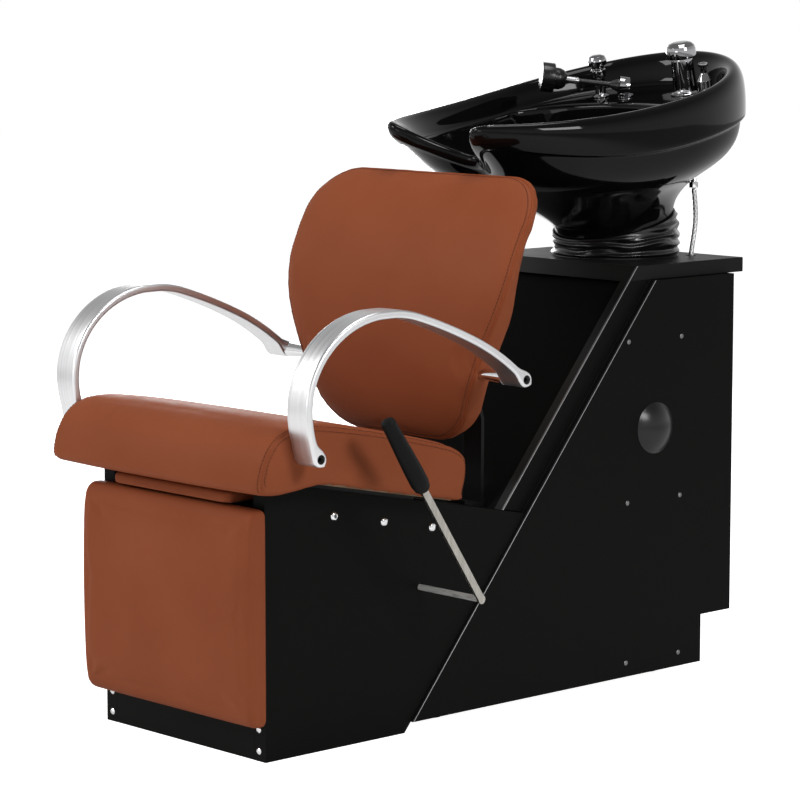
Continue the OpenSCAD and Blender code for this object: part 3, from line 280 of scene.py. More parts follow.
def makeTrim(name):
    material, shader = newFinish(name, 0.32)
    place = addNode(material, "ShaderNodeTexCoord")
    split = addNode(material, "ShaderNodeSeparateXYZ")
    wire(material, place, "Object", split, "Vector")
    reach = addNode(material, "ShaderNodeMath", operation="ABSOLUTE")
    wire(material, split, "X", reach, 0)
    inner = addNode(material, "ShaderNodeMath", operation="COMPARE")
    inner.inputs[1].default_value, inner.inputs[2].default_value = edging["bead"], edging["halfBead"]
    outer = addNode(material, "ShaderNodeMath", operation="GREATER_THAN")
    outer.inputs[1].default_value = edging["arris"]
    bright = addNode(material, "ShaderNodeMath", operation="MAXIMUM")
    wire(material, reach, "Value", inner, 0)
    wire(material, reach, "Value", outer, 0)
    wire(material, inner, "Value", bright, 0)
    wire(material, outer, "Value", bright, 1)
    brightWhere(material, shader, bright)
    return material


# black plastic with a bright collar, told apart by distance along the piece's own axis
collarBand = {"middle": 0.0835, "halfLong": 0.0105}


def makeCollared(name, origin, axis):
    material, shader = newFinish(name, 0.34)
    place = addNode(material, "ShaderNodeTexCoord")
    shift = addNode(material, "ShaderNodeVectorMath", operation="SUBTRACT")
    along = addNode(material, "ShaderNodeVectorMath", operation="DOT_PRODUCT")
    shift.inputs[1].default_value, along.inputs[1].default_value = origin, axis
    collar = addNode(material, "ShaderNodeMath", operation="COMPARE")
    collar.inputs[1].default_value = collarBand["middle"]
    collar.inputs[2].default_value = collarBand["halfLong"]
    wire(material, place, "Object", shift, 0)
    wire(material, shift, "Vector", along, 0)
    wire(material, along, "Value", collar, 0)
    brightWhere(material, shader, collar)
    return material


weaveCount = (8, 60)


def makeBraid(name):
    material, shader = newFinish(name, 0.32, 1.0)
    place = addNode(material, "ShaderNodeUVMap")
    heights = []
    for turn in (1, -1):
        mapping = addNode(material, "ShaderNodeMapping")
        mapping.inputs["Scale"].default_value = (weaveCount[0], weaveCount[1] * turn, 1)
        wire(material, place, "UV", mapping, "Vector")
        wave = addNode(material, "ShaderNodeTexWave", Scale=0.314, bands_direction="DIAGONAL")
        wire(material, mapping, "Vector", wave, "Vector")
        heights.append(wave)
    weave = addNode(material, "ShaderNodeMath", operation="MAXIMUM")
    wire(material, heights[0], "Fac", weave, 0)
    wire(material, heights[1], "Fac", weave, 1)
    # painted shade: the braid's colour is darker in the low gaps between the strands
    color = ramp(material, weave, "Value", (0.34, 0.34, 0.345), (0.66, 0.66, 0.67), 0.2, 0.8)
    wire(material, color, "Color", shader, "Base Color")
    relief(material, shader, weave, "Value", 0.6, 0.0006)
    return material


leather = makeLeather("brownLeather", (0.258, 0.068, 0.028), (0.298, 0.082, 0.035))
pipingLeather = makeLeather("pipingLeather", (0.28, 0.066, 0.024), (0.32, 0.08, 0.03))
thread = makeBoardFinish("brownThread", (0.1, 0.025, 0.01), 0.7, 0.2)
laminate = makeBoardFinish("blackLaminate", (0.0036, 0.0036, 0.0033), 0.46, 0.05)
# painted light: the slab's black laminate is made lighter than the other boards to stand in for light falling
# on its front edge
litSlabLaminate = makeBoardFinish("litSlabLaminate", (0.012, 0.0122, 0.0118), 0.42, 0.06)
plastic = makeBoardFinish("blackPlastic", (0.006, 0.006, 0.006), 0.24, 0.36)
rubber = makeBoardFinish("blackRubber", (0.005, 0.005, 0.005), 0.5, 0.1)
darkSteel = makeBoardFinish("blackedSteel", (0.006, 0.006, 0.0064), 0.42, 0.16)
greyPipe = makeBoardFinish("greyPipe", (0.32, 0.32, 0.31), 0.45, 0.4)
rawBoard = makeWood("rawPlywood")
chrome = makeMetal("brightChrome", (0.7, 0.7, 0.71), (0.82, 0.82, 0.83), 0.07, (1, 1, 1), 60, dent=0.01)
brushedArm = makeMetal("brushedArm", (0.71, 0.71, 0.72), (0.83, 0.83, 0.84), 0.36, (900, 2.5, 2.5), 1.0,
                       dent=0.06)
trimMetal = makeTrim("edgeTrim")
sprayPull = next(joint for joint in frame["record"]["behaviour"]["joints"] if joint["name"] == "spray_pull")
collared = makeCollared("collaredGrip", sprayPull["pos_m"], sprayPull["axis"])
vinyl = makeBoardFinish("blackVinyl", (0.007, 0.007, 0.007), 0.26, 0.5)
nickel = makeMetal("satinNickel", (0.36, 0.345, 0.31), (0.48, 0.46, 0.42), 0.32, (300, 300, 30), 1.0,
                   dent=0.08)
# painted shade: chrome with a lowered base colour, standing in for the dark surroundings the fixtures reflect
shadedReflectionChrome = makeMetal("shadedReflectionChrome", (0.3, 0.3, 0.31), (0.4, 0.4, 0.41), 0.06, (1, 1, 1), 60, dent=0.01)
platedShaft = makeMetal("platedShaft", (0.5, 0.5, 0.48), (0.62, 0.62, 0.6), 0.3, (30, 300, 300), 1.0,
                        dent=0.06, metal=0.4)
dullCap = makeMetal("dullCap", (0.16, 0.16, 0.16), (0.24, 0.24, 0.235), 0.4, (40, 40, 40), 1.0)
brass = makeMetal("machinedBrass", (0.46, 0.32, 0.13), (0.6, 0.44, 0.2), 0.28, (300, 40, 300), 1.0, dent=0.08)
braid = makeBraid("steelBraid")
gloss = makeMetal("glossBlack", (0.0022, 0.0022, 0.0024), (0.0036, 0.0036, 0.0038), 0.06, (1, 1, 1), 9,
                  dent=0.004, specular=0.15, metal=0.0)

slotLook = {"black_laminate": laminate, "raw_board": rawBoard, "chrome": chrome, "dark_steel": darkSteel,
            "leather": leather, "satin_aluminium": brushedArm, "satin_nickel": nickel,
            "black_rubber": rubber, "black_plastic": plastic, "gloss_black": gloss, "pipe_grey": greyPipe,
            "braid": braid, "brass": brass}
slotOf = {part["node"]: part["material_slot"] for part in frame["record"]["subparts"]}


def dress(piece, material):
    piece.data.materials.clear()
    piece.data.materials.append(material)


for nodeName, node in cad.items():
    node.data.materials.clear()
    node.data.materials.append(slotLook[slotOf[nodeName]])
cad["edge_trims"].data.materials[0] = trimMetal
cad["spray_tube"].data.materials[0] = collared
cad["screw_caps"].data.materials[0] = dullCap
# painted light: the slab takes the lighter laminate in place of the light on its front edge
cad["top_slab"].data.materials[0] = litSlabLaminate
cad["lever_shaft"].data.materials[0] = platedShaft
# painted shade: the fixtures take the darkened chrome in place of dark reflections
for nodeName in ("mixer_body", "mixer_cap", "vacuum_breaker", "spray_holder"):
    cad[nodeName].data.materials[0] = shadedReflectionChrome

# soft edges on boards and metal work, where light catches the arris
arris = {"laminate": 0.0012, "metal": 0.0006, "segments": 2, "angle": 28}
edged = {"laminate": ["base_side_left", "base_side_right", "kick_panel", "rear_deck", "cabinet_sides",
                      "cheek_left", "cheek_right", "slant_panel", "top_slab", "base_floor", "cabinet_floor",
                      "rear_rail", "rest_board"],
         "metal": ["linkage_plates", "kick_links", "carrier_links", "rest_brackets", "drive_link",
                   "back_brackets", "lever_bar", "lever_shaft", "tilt_bracket", "front_rail", "flap_guides",
                   "side_bolts", "kick_screws", "screw_caps", "mixer_body", "mixer_cap", "vacuum_breaker",
                   "spray_holder", "spray_head", "spray_tube", "lever_grip", "levelling_feet", "water_inlets",
                   "arm_bolts", "arm_pins", "hose_nuts", "drain_strainer"]}
for kind, names in edged.items():
    for nodeName in names:
        weld = cad[nodeName].modifiers.new("weld", "WELD")
        weld.merge_threshold = mergeGap
        bevel = cad[nodeName].modifiers.new("arris", "BEVEL")
        bevel.width = arris[kind]
        bevel.segments = arris["segments"]
        bevel.limit_method = "ANGLE"
        bevel.angle_limit = math.radians(arris["angle"])
        bevel.use_clamp_overlap = True
print("finishes on the frame")

# wash bowl, the same rings as the solid, rounded

bowl = {"pivot": (0.755, 0.69), "lean": 11, "count": 56, "neckHalf": 100, "drain": 30, "skirt": 84}


def onBowl(x, y, z):
    t = math.radians(bowl["lean"])
    return Vector((x / 1000, bowl["pivot"][0] + (y * math.cos(t) - z * math.sin(t)) / 1000,
                   bowl["pivot"][1] + (y * math.sin(t) + z * math.cos(t)) / 1000))


def bowlRing(w, b, f, c, h, hb, hf, cut, dip):
    ring = []
    for i in range(bowl["count"]):
        a = 2 * math.pi * i / bowl["count"]
        k, x = math.cos(a), w * math.sin(a)
        atNeck = k < 0 and abs(x) < bowl["neckHalf"]
        scoop = math.cos(math.pi / 2 * x / bowl["neckHalf"]) ** 2 if atNeck else 0
        ring.append(onBowl(x, c + (b if k > 0 else f) * k + cut * scoop,
                           h + ((hb if k > 0 else hf) - h) * k * k - dip * scoop))
    return ring


def bowlRound(r, h):
    return bowlRing(r, r, r, 0, h, h, h, 0, 0)


bowlRings = [bowlRound(94, -8), bowlRound(94, -7), bowlRound(96, 24)]
for values in [(99, 98, 102, 0, 31, 31, 31, 0, 0),
               (111, 108, 122, -6, 50, 52, 54, 0, 0), (141, 163, 185, -24, 77, 76, 106, 0, 0),
               (173, 205, 238, -26, 94, 92, 138, 12, 4), (198, 236, 288, -26, 110, 106, 168, 44, 24),
               (213, 255, 318, -26, 133, 128, 204, 76, 50), (218, 260, 344, -26, 157, 152, 229, 100, 66),
               (219, 261.5, 346, -26, 159, 154, 231, 101, 67), (224, 272, 357, -26, 162, 158, 235, 109, 71.5),
               (225, 273, 359, -26, 165, 161, 238, 111, 72.5),
               (226, 279, 374, -26, 190, 196, 246, 122, 77), (225, 278.5, 380, -26, 216, 229, 257, 127, 80),
               (217, 270, 380, -26, 230, 245, 267, 129, 82), (206, 258, 374, -26, 232, 248, 268, 126, 81),
               (197, 243, 357, -26, 223, 239, 256, 117, 74), (191, 235, 345, -26, 203, 204, 240, 108, 68),
               (186, 229, 338, -26, 195, 195, 232, 102, 64), (184, 190, 333, -26, 195, 195, 228, 98, 61),
               (182, 98, 327, -26, 195, 195, 224, 94, 58), (181, 91, 325, -26, 192, 193.5, 222, 93, 57),
               (176, 90, 312, -26, 150, 176, 208, 82, 46),
               (160, 88, 270, -26, 112, 120, 172, 56, 24), (120, 80, 190, -22, 76, 76, 112, 10, 0),
               (66, 58, 84, -12, 56, 56, 62, 0, 0)]:
    bowlRings.append(bowlRing(*values))
bowlRings += [bowlRound(31, 50.3), bowlRound(bowl["drain"], 50), bowlRound(bowl["drain"], 38),
              bowlRound(32, 37), bowlRound(bowl["skirt"] - 2, 34), bowlRound(bowl["skirt"], 32),
              bowlRound(bowl["skirt"], -7), bowlRound(bowl["skirt"], -8)]
washBowl = skinRings("washBowlShell", bowlRings, closed=True)
subdivide(washBowl, 2)
smoothShade(washBowl)
dress(washBowl, gloss)
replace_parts(washBowl, "wash_bowl")
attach(washBowl, "bowl")
print("wash bowl done")

# soft goods: a smooth cage, pockets cut, remeshed, puffed by cloth pressure, then seams

curveSteps = 12


# evenly spaced points on a curve through the given ones
def smoothLoop(points, count, closed=True):
    points = [Vector(p) for p in points]
    n = len(points)
    fine = []
    for i in range(n if closed else n - 1):
        if closed:
            a, b, c, d = points[i - 1], points[i], points[(i + 1) % n], points[(i + 2) % n]
        else:
            a, b, c, d = points[max(i - 1, 0)], points[i], points[i + 1], points[min(i + 2, n - 1)]
        for j in range(curveSteps):
            t = j / curveSteps
            fine.append(0.5 * (2 * b + (c - a) * t + (2 * a - 5 * b + 4 * c - d) * t * t
                               + (3 * b - a - 3 * c + d) * t ** 3))
    fine.append(fine[0].copy() if closed else points[-1].copy())
    run = arcLengths(fine)
    spaced, k = [], 0
    for i in range(count):
        want = run[-1] * i / (count if closed else count - 1)
        while k < len(run) - 2 and run[k + 1] < want:
            k += 1
        step = run[k + 1] - run[k]
        spaced.append(fine[k].lerp(fine[k + 1], (want - run[k]) / step if step > 0 else 0))
    return spaced


def fineLevels(levels, each):
    found = smoothLoop([(a, b, 0) for a, b in levels], each * (len(levels) - 1) + 1, closed=False)
    return [(p.x, p.y) for p in found]


def poleEnd(ring):
    middle = sum(ring, Vector()) / len(ring)
    return [middle.copy() for _ in ring]


def skinClosed(name, rings):
    return skinRings(name, [poleEnd(rings[0])] + rings + [poleEnd(rings[-1])])


def boxCutter(low, high, place):
    pickOnly(None)
    bpy.ops.mesh.primitive_cube_add(size=2)
    cutter = bpy.context.object
    for vertex in cutter.data.vertices:
        vertex.co = place(*[low[k] if vertex.co[k] < 0 else high[k] for k in range(3)])
    tidyMesh(cutter)
    return cutter


def rodCutter(radius, x0, x1, y, z):
    pickOnly(None)
    bpy.ops.mesh.primitive_cylinder_add(vertices=32, radius=radius, depth=abs(x1 - x0),
                                        rotation=(0, math.pi / 2, 0), location=((x0 + x1) / 2, y, z))
    bpy.ops.object.transform_apply(location=True, rotation=True, scale=True)
    return bpy.context.object


def cutAway(piece, cutter):
    modifier = piece.modifiers.new("cut", "BOOLEAN")
    modifier.operation = "DIFFERENCE"
    modifier.solver = "EXACT"
    modifier.object = cutter
    applyAll(piece)
    bpy.data.objects.remove(cutter)


def surfaceOf(piece):
    bpy.context.view_layer.update()
    return BVHTree.FromObject(piece, bpy.context.evaluated_depsgraph_get())


cloths = {"skinGap": 0.0035, "quality": 4, "mass": 0.35, "stretch": 18, "shear": 8, "frames": 20}


# pockets stay as they are: only the outer skin is free to swell, and it never falls inside its cage
def puffUp(piece, look, cutters, held):
    skin = surfaceOf(piece)
    for cutter in cutters:
        cutAway(piece, cutter)
    modifier = piece.modifiers.new("even", "REMESH")
    modifier.mode = "VOXEL"
    modifier.voxel_size = look["voxel"]
    applyAll(piece)
    start = [v.co.copy() for v in piece.data.vertices]
    fixed = [v.index for v in piece.data.vertices
             if skin.find_nearest(v.co)[3] > cloths["skinGap"] or held(v.co)]
    piece.vertex_groups.new(name="held").add(fixed, 1.0, "REPLACE")
    cloth = piece.modifiers.new("puff", "CLOTH")
    cloth.settings.quality = cloths["quality"]
    cloth.settings.mass = cloths["mass"]
    cloth.settings.tension_stiffness = cloth.settings.compression_stiffness = cloths["stretch"]
    cloth.settings.shear_stiffness = cloths["shear"]
    cloth.settings.bending_stiffness = look["stiff"]
    cloth.settings.use_pressure = True
    cloth.settings.uniform_pressure_force = look["pressure"]
    cloth.settings.effector_weights.gravity = 0
    cloth.settings.vertex_group_mass = "held"
    cloth.collision_settings.use_collision = False
    cloth.point_cache.frame_start, cloth.point_cache.frame_end = 1, cloths["frames"]
    for number in range(1, cloths["frames"] + 1):
        bpy.context.scene.frame_set(number)
    applyAll(piece)
    bpy.context.scene.frame_set(1)
    for vertex, old in zip(piece.data.vertices, start):
        moved = vertex.co - old
        if moved.length > look["cap"]:
            vertex.co = old + moved * (look["cap"] / moved.length)
    calm = piece.modifiers.new("calm", "SMOOTH")
    calm.factor = 0.5
    calm.iterations = look["calm"]
    applyAll(piece)
    kept = set(fixed)
    for vertex in piece.data.vertices:
        spot, normal = skin.find_nearest(vertex.co)[:2]
        sunk = (vertex.co - spot).dot(normal) < 0 and vertex.normal.dot(normal) > 0.5
        if vertex.index not in kept and sunk:
            vertex.co = spot
    far = max((v.co - old).length for v, old in zip(piece.data.vertices, start))
    print(piece.name, len(piece.data.vertices), "points, moved up to", round(far * 1000, 1), "mm")


# presses a line of points into a soft surface, with small gathers of this length and width beside it
gatherSize = (0.02, 0.05)


def pressLine(piece, line, depth, width, gather=0.0, reach=0.02):
    tree = kdtree.KDTree(len(line))
    arc = arcLengths(line)
    for number, point in enumerate(line):
        tree.insert(point, number)
    tree.balance()
    moves = []
    for vertex in piece.data.vertices:
        number, gap = tree.find(vertex.co)[1:]
        if gap < max(width * 2.5, reach * 2.5 if gather else 0):
            move = depth * math.exp(-(gap / width) ** 2)
            ripple = noise.noise(Vector((arc[number] / gatherSize[0], gap / gatherSize[1], 0)))
            move += gather * ripple * math.exp(-(gap / reach) ** 2)
            moves.append((vertex, vertex.normal.copy() * move))
    for vertex, move in moves:
        vertex.co -= move


stitches = {"thick": 0.0012, "long": 0.0042, "pitch": 0.0056, "sides": 6}


# one stitch is a stubby rounded bar, modelled once and copied along a line
def sewLine(name, piece, line):
    tree = surfaceOf(piece)
    pickOnly(None)
    bpy.ops.mesh.primitive_cylinder_add(vertices=stitches["sides"], radius=stitches["thick"] / 2,
                                        depth=stitches["long"])
    bpy.ops.object.mode_set(mode="EDIT")
    bpy.ops.mesh.select_all(action="SELECT")
    bpy.ops.mesh.bevel(offset=stitches["thick"] * 0.2, segments=1)
    bpy.ops.object.mode_set(mode="OBJECT")
    model = bpy.context.object
    run, copies = stitches["pitch"], []
    for a, b in zip(line, line[1:]):
        run += (b - a).length
        if run < stitches["pitch"]:
            continue
        run = 0.0
        spot, normal = tree.find_nearest(a)[:2]
        along = b - a
        along = (along - normal * along.dot(normal)).normalized()
        place = Matrix((normal.cross(along), normal, along)).transposed().to_4x4()
        place.translation = spot + normal * stitches["thick"] * 0.15
        stitch = model.copy()
        stitch.data = model.data.copy()
        stitch.data.transform(place)
        bpy.context.scene.collection.objects.link(stitch)
        copies.append(stitch)
    bpy.data.objects.remove(model)
    seam = joinPieces(copies, name)
    smoothShade(seam, 40)
    dress(seam, thread)
    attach(seam, "unit")


def tubeAlong(name, line, radius, sides, closed=False):
    rings, count, across = [], len(line), None
    turns = [2 * math.pi * k / sides for k in range(sides)]
    for i, point in enumerate(line):
        ahead = line[(i + 1) % count] if closed or i < count - 1 else line[i]
        behind = line[i - 1] if closed or i > 0 else line[i]
        along = (ahead - behind).normalized()
        if across is None:
            across = along.cross(Vector((0, 0, 1)) if abs(along.z) < 0.9 else Vector((1, 0, 0)))
        across = (across - along * across.dot(along)).normalized()
        up = across.cross(along)
        rings.append([point + radius * (across * math.cos(a) + up * math.sin(a)) for a in turns])
    piece = skinRings(name, rings, True) if closed else skinClosed(name, rings)
    smoothShade(piece)
    return piece


def dense(line, step):
    whole = sum((b - a).length for a, b in zip(line, line[1:]))
    return smoothLoop(line, max(8, int(whole / step)), closed=False)


# the spacing of points along a seam, in metres, and the clearance of a pocket, in millimetres
fineStep, pocketGap = 0.0008, 0.3

# seat cushion

seat = {"half": 240, "long": 394, "nose": 57, "thick": 84, "lip": 25, "gap": 7, "pitch": 11.3, "front": -140,
        "top": 400, "board": 15, "wall": 15, "voxel": 0.0056, "pressure": 2.5, "stiff": 3.0, "cap": 0.0025,
        "calm": 3, "base": 184, "lipEnd": 73, "fill": 0.8, "points": 110, "drawn": 3, "crown": -1.2,
        "under": -12, "block": (15, 34), "blockSpan": (-26, 44), "bolt": (-125.25, 441, 4.3),
        "seam": (0.0036, 0.0022, 0.0006, 0.02), "seamAt": (3, 3.6), "sewnAt": ((8, 1.3), (0.6, 8))}
seatShape = [(0.985, 0), (0.996, 0.08), (1, 0.38), (0.995, 0.66), (0.977, 0.8), (0.94, 0.89), (0.866, 0.945),
             (0.66, 0.99), (0.455, 1), (0.3, 0.98), (0.2, 0.945), (0.116, 0.85), (0.054, 0.66), (0.02, 0.41),
             (0.003, 0.1), (0, -0.44), (0.008, -0.84), (0.026, -1), (0.07, -1), (0.12, -0.88), (0.2, -0.5),
             (0.27, -0.16), (0.33, -0.03), (0.7, -0.06)]
seatSteps = [(0, 10), (2, 5), (6, 1.8), (14, 0.5), (36, 0), (100, -0.8)]


def onSeat(x, u, w):
    t = math.radians(seat["pitch"])
    return inMetres(x, seat["front"] + u * math.cos(t) + w * math.sin(t),
                    seat["top"] - u * math.sin(t) + w * math.cos(t))


def offSeat(point):
    t = math.radians(seat["pitch"])
    y, z = point.y * 1000 - seat["front"], point.z * 1000 - seat["top"]
    return y * math.cos(t) - z * math.sin(t), y * math.sin(t) + z * math.cos(t)


seatProfile = smoothLoop([(a * seat["long"], b * seat["thick"], 0) for a, b in seatShape], seat["points"])
seatProfile = [(p.x / seat["long"], p.y / seat["thick"]) for p in seatProfile]


def seatRing(x, k):
    mid, tall = seat["long"] / 2 - seat["nose"], seat["gap"] + seat["thick"] / 2
    ring = []
    for a, b in seatProfile:
        u = a * seat["long"] - seat["nose"]
        w = seat["gap"] + b * (seat["thick"] if b > 0 else seat["lip"])
        pull = seat["drawn"] * math.sin(math.pi * min(max(a, 0), 1)) * (1 if x > 0 else -1 if x < 0 else 0)
        ring.append(onSeat(x - pull, mid + (u - mid) * (1 - 2 * k / seat["long"]),
                           tall + (w - tall) * (1 - k / (seat["thick"] / 2 + 8))))
    return ring


seatLevels = fineLevels(seatSteps, 4)
seatRings = [seatRing(d - seat["half"], k) for d, k in seatLevels]
seatRings += [seatRing(x, seat["crown"]) for x in (-70, 0, 70)]
seatRings += [seatRing(seat["half"] - d, k) for d, k in reversed(seatLevels)]
seatPad = skinClosed("seatPad", seatRings)
boardEnd, boardTop = seat["long"] - seat["nose"] - seat["wall"] + pocketGap, seat["gap"] + seat["board"]
inner, below, beyond, wide = seat["half"] - seat["wall"], -60, 420, 260
cutters = [boxCutter((-seat["base"], seat["under"], below), (seat["base"], beyond, seat["gap"]), onSeat),
           boxCutter((-wide, seat["lipEnd"], below), (wide, beyond, seat["gap"]), onSeat),
           boxCutter((-inner - pocketGap, 4 - pocketGap, seat["gap"] - pocketGap),
                     (inner + pocketGap, boardEnd, boardTop + pocketGap), onSeat)]
for side in (1, -1):
    blockHalf, blockHigh = [k + pocketGap for k in seat["block"]]
    blockMid, (blockFront, blockRear) = side * (inner - seat["block"][0]), seat["blockSpan"]
    cutters.append(boxCutter((blockMid - blockHalf, blockFront - pocketGap, boardTop - 1),
                             (blockMid + blockHalf, blockRear + pocketGap, boardTop + blockHigh), onSeat))
    boltY, boltZ, boltR = [k / 1000 for k in seat["bolt"]]
    cutters.append(rodCutter(boltR, side * 0.2, side * 0.26, boltY, boltZ))


def seatHeld(point):
    u, w = offSeat(point)
    overBase = abs(point.x) * 1000 < seat["base"] + 6
    return u > (seat["under"] - 6 if overBase else seat["lipEnd"]) and w < seat["gap"] + 4


puffUp(seatPad, seat, cutters, seatHeld)
subdivide(seatPad, 1)
seatWrap = [i for i, (a, b) in enumerate(seatProfile) if b > 0.05 or a < 0.02]
seatSeams = []
for side in (1, -1):
    lines = [[seatRing(side * (seat["half"] - d), k)[i] for i in seatWrap]
             for d, k in (seat["seamAt"], *seat["sewnAt"])]
    lines = [dense(line, fineStep) for line in lines]
    pressLine(seatPad, lines[0], *seat["seam"])
    seatSeams.append(lines[1:])
smoothShade(seatPad)
dress(seatPad, leather)
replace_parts(seatPad, "seat_cushion")
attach(seatPad, "unit")
for number, pair in enumerate(seatSeams):
    for row, line in enumerate(pair):
        sewLine(f"seatStitch{number}{row}", seatPad, line)
print("seat cushion done")

# back cushion

back = {"x": 250, "top": 292, "low": -136, "mid": 90, "r": 380, "cy": 640, "cz": 539, "thick": 38,
        "topCorner": 85, "lowCorner": 100, "lowFlat": 80, "flank": 150, "lean": 24.6, "waist": (105, 26),
        "voxel": 0.0056, "pressure": 2.5, "stiff": 3.0, "cap": 0.0025, "calm": 3, "fill": 0.7, "points": 150,
        "lug": (138, 156), "lugHalf": (9, 12), "pin": 8.4, "arm": (271, 517.5), "seamAt": (5, 4.2),
        "rearSeamAt": (5, -18), "sewnAt": (10.5, 7), "seam": (0.0016, 0.002, 0.0005, 0.018),
        "rearSeam": (0.0012, 0.002), "fold": (0.004, 0.005, 0.001, 0.03), "cord": 0.0012, "cordStep": 0.004}
backFold = [(172, 42, 8), (178, 25, 7), (183, 5, 5), (186, -12, 3)]
backLevels = [(18, -36.5), (8, -34), (2, -29), (0, -22), (0, -11), (0, -2), (4, 3.5), (14, 8.5), (34, 13.8),
              (62, 17.6), (95, 20.4), (140, 22.2), (180, 22.6)]


def arcPoints(cx, cy, r, a0, a1, n):
    return [(cx + r * math.cos(math.radians(a0 + (a1 - a0) * i / n)),
             cy + r * math.sin(math.radians(a0 + (a1 - a0) * i / n)), 0) for i in range(n + 1)]


def backBend(x, s, n):
    a = s / back["r"]
    return inMetres(x, back["cy"] - (back["r"] + n) * math.cos(a), back["cz"] + (back["r"] + n) * math.sin(a))


halfBack = [(0, back["top"], 0), ((back["x"] - back["topCorner"]) / 2, back["top"], 0)]
halfBack += arcPoints(back["x"] - back["topCorner"], back["top"] - back["topCorner"], back["topCorner"],
                      90, 0, 12)
halfBack += arcPoints(0, back["flank"], back["x"], 0, -back["lean"], 8)[1:]
halfBack += arcPoints(back["lowFlat"], back["low"] + back["lowCorner"], back["lowCorner"],
                      -back["lean"], -90, 12)[1:]
halfBack += [(back["lowFlat"] / 2, back["low"], 0), (0, back["low"], 0)]
backLine = smoothLoop(halfBack + [(-x, s, 0) for x, s, _ in halfBack[-2:0:-1]], back["points"])


def backRing(inset, n):
    where, spreadOut = back["waist"]
    ring = []
    for p in backLine:
        drawn = inset + max(0, -n) / (1 + math.exp((where - p.y) / spreadOut))
        smaller = 1 - inset / (back["top"] - back["mid"])
        ring.append(backBend(p.x * (1 - drawn / back["x"]), back["mid"] + (p.y - back["mid"]) * smaller, n))
    return ring


backRings = [backRing(k, -back["thick"]) for k in (180, 150, 120, 85, 46)]
backRings += [backRing(inset, n) for inset, n in fineLevels(backLevels, 4)]
backPad = skinClosed("backPad", backRings)
cutters = []
for side in (1, -1):
    low, high = back["lug"][0] - pocketGap, back["lug"][1] + pocketGap
    lugMid, lugHalf = side * (low + high) / 2, (high - low) / 2
    deep, tall = [k + pocketGap for k in back["lugHalf"]]
    armY, armZ = back["arm"]
    cutters.append(boxCutter((lugMid - lugHalf, armY - deep, armZ - tall),
                             (lugMid + lugHalf, 330, armZ + tall), inMetres))
    cutters.append(rodCutter(back["pin"] / 1000, side * 0.15, side * 0.26, armY / 1000, armZ / 1000))


def backHeld(point):
    reach = math.hypot(point.y * 1000 - back["cy"], point.z * 1000 - back["cz"])
    return reach < back["r"] - back["thick"] + 5


puffUp(backPad, back, cutters, backHeld)
subdivide(backPad, 1)


def backLoop(level, step):
    ring = backRing(*level)
    return dense(ring + [ring[0]], step)


pressLine(backPad, backLoop(back["seamAt"], fineStep), *back["seam"])
pressLine(backPad, backLoop(back["rearSeamAt"], fineStep), *back["rearSeam"])
for side in (1, -1):
    fold = dense([backBend(side * x, s, n) for x, s, n in backFold], fineStep)
    pressLine(backPad, fold, *back["fold"])
smoothShade(backPad)
dress(backPad, leather)
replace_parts(backPad, "back_cushion")
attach(backPad, "unit")
backSurface = surfaceOf(backPad)
cordLine = []
for point in backLoop(back["seamAt"], back["cordStep"])[:-1]:
    spot, normal = backSurface.find_nearest(point)[:2]
    cordLine.append(spot + normal * back["cord"] / 4)
piping = tubeAlong("backPiping", cordLine, back["cord"], 10, closed=True)
dress(piping, pipingLeather)
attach(piping, "unit")
sewLine("backStitch0", backPad, backLoop(back["sewnAt"], fineStep))
print("back cushion done")

# leg rest pad and flap pad

rest = {"w": 380, "low": 52, "h": 310, "y": -153, "t": 27, "inset": 9, "voxel": 0.005, "pressure": 2.5,
        "stiff": 3.0, "cap": 0.0025, "calm": 3, "fill": 0.75, "points": 120, "heldFrom": -145.5,
        "crown": -0.4}
restCurve = [(-11, 1.2), (-3, 0), (6, 0.6), (13, 4), (18.5, 11), (22, 24), (25, 60), (26.6, 110)]
restSteps = [(0, 6), (1.5, 3), (5, 0.8), (14, 0), (60, -0.3)]
flap = {"w": 264, "low": -165, "high": -85, "z": 374, "lip": 9.5, "thick": 8.5, "wall": 6, "corner": 12,
        "voxel": 0.0035, "pressure": 2.0, "stiff": 3.0, "cap": 0.0015, "calm": 2, "fill": 0.7,
        "heldTo": 366.5}
flapLevels = [(2, -1), (0.3, -0.8), (0, -0.2), (0, 0.35), (1.2, 0.68), (4, 0.9), (10, 1)]


def softRect(hw, u0, u1, r, corner=8, edge=18):
    ring = []
    middles = ((hw - r, u1 - r), (r - hw, u1 - r), (r - hw, u0 + r), (hw - r, u0 + r))
    for k, (cx, cy) in enumerate(middles):
        for j in range(corner + 1):
            a = math.radians(90 * k + 90 * j / corner)
            ring.append((cx + r * math.cos(a), cy + r * math.sin(a)))
        e = math.radians(90 * k + 90)
        dx, dy = middles[(k + 1) % 4]
        for j in range(1, edge):
            t = j / edge
            ring.append((cx + (dx - cx) * t + r * math.cos(e), cy + (dy - cy) * t + r * math.sin(e)))
    return ring


restSide = [(out, rest["h"] - up, 0) for out, up in restCurve] + [(rest["t"], rest["h"] / 2, 0)]
restSide += [(out, up, 0) for out, up in reversed(restCurve)]
restSide = smoothLoop(restSide, rest["points"], closed=False)


def restRing(x, k):
    ring = []
    for p in restSide:
        out = p.x * (1 - k / rest["t"]) if p.x > 0 else p.x
        up = (p.y - rest["h"] / 2) * (1 - 2 * k / rest["h"])
        ring.append(inMetres(x, rest["y"] - out, rest["low"] + rest["h"] / 2 + up))
    return ring


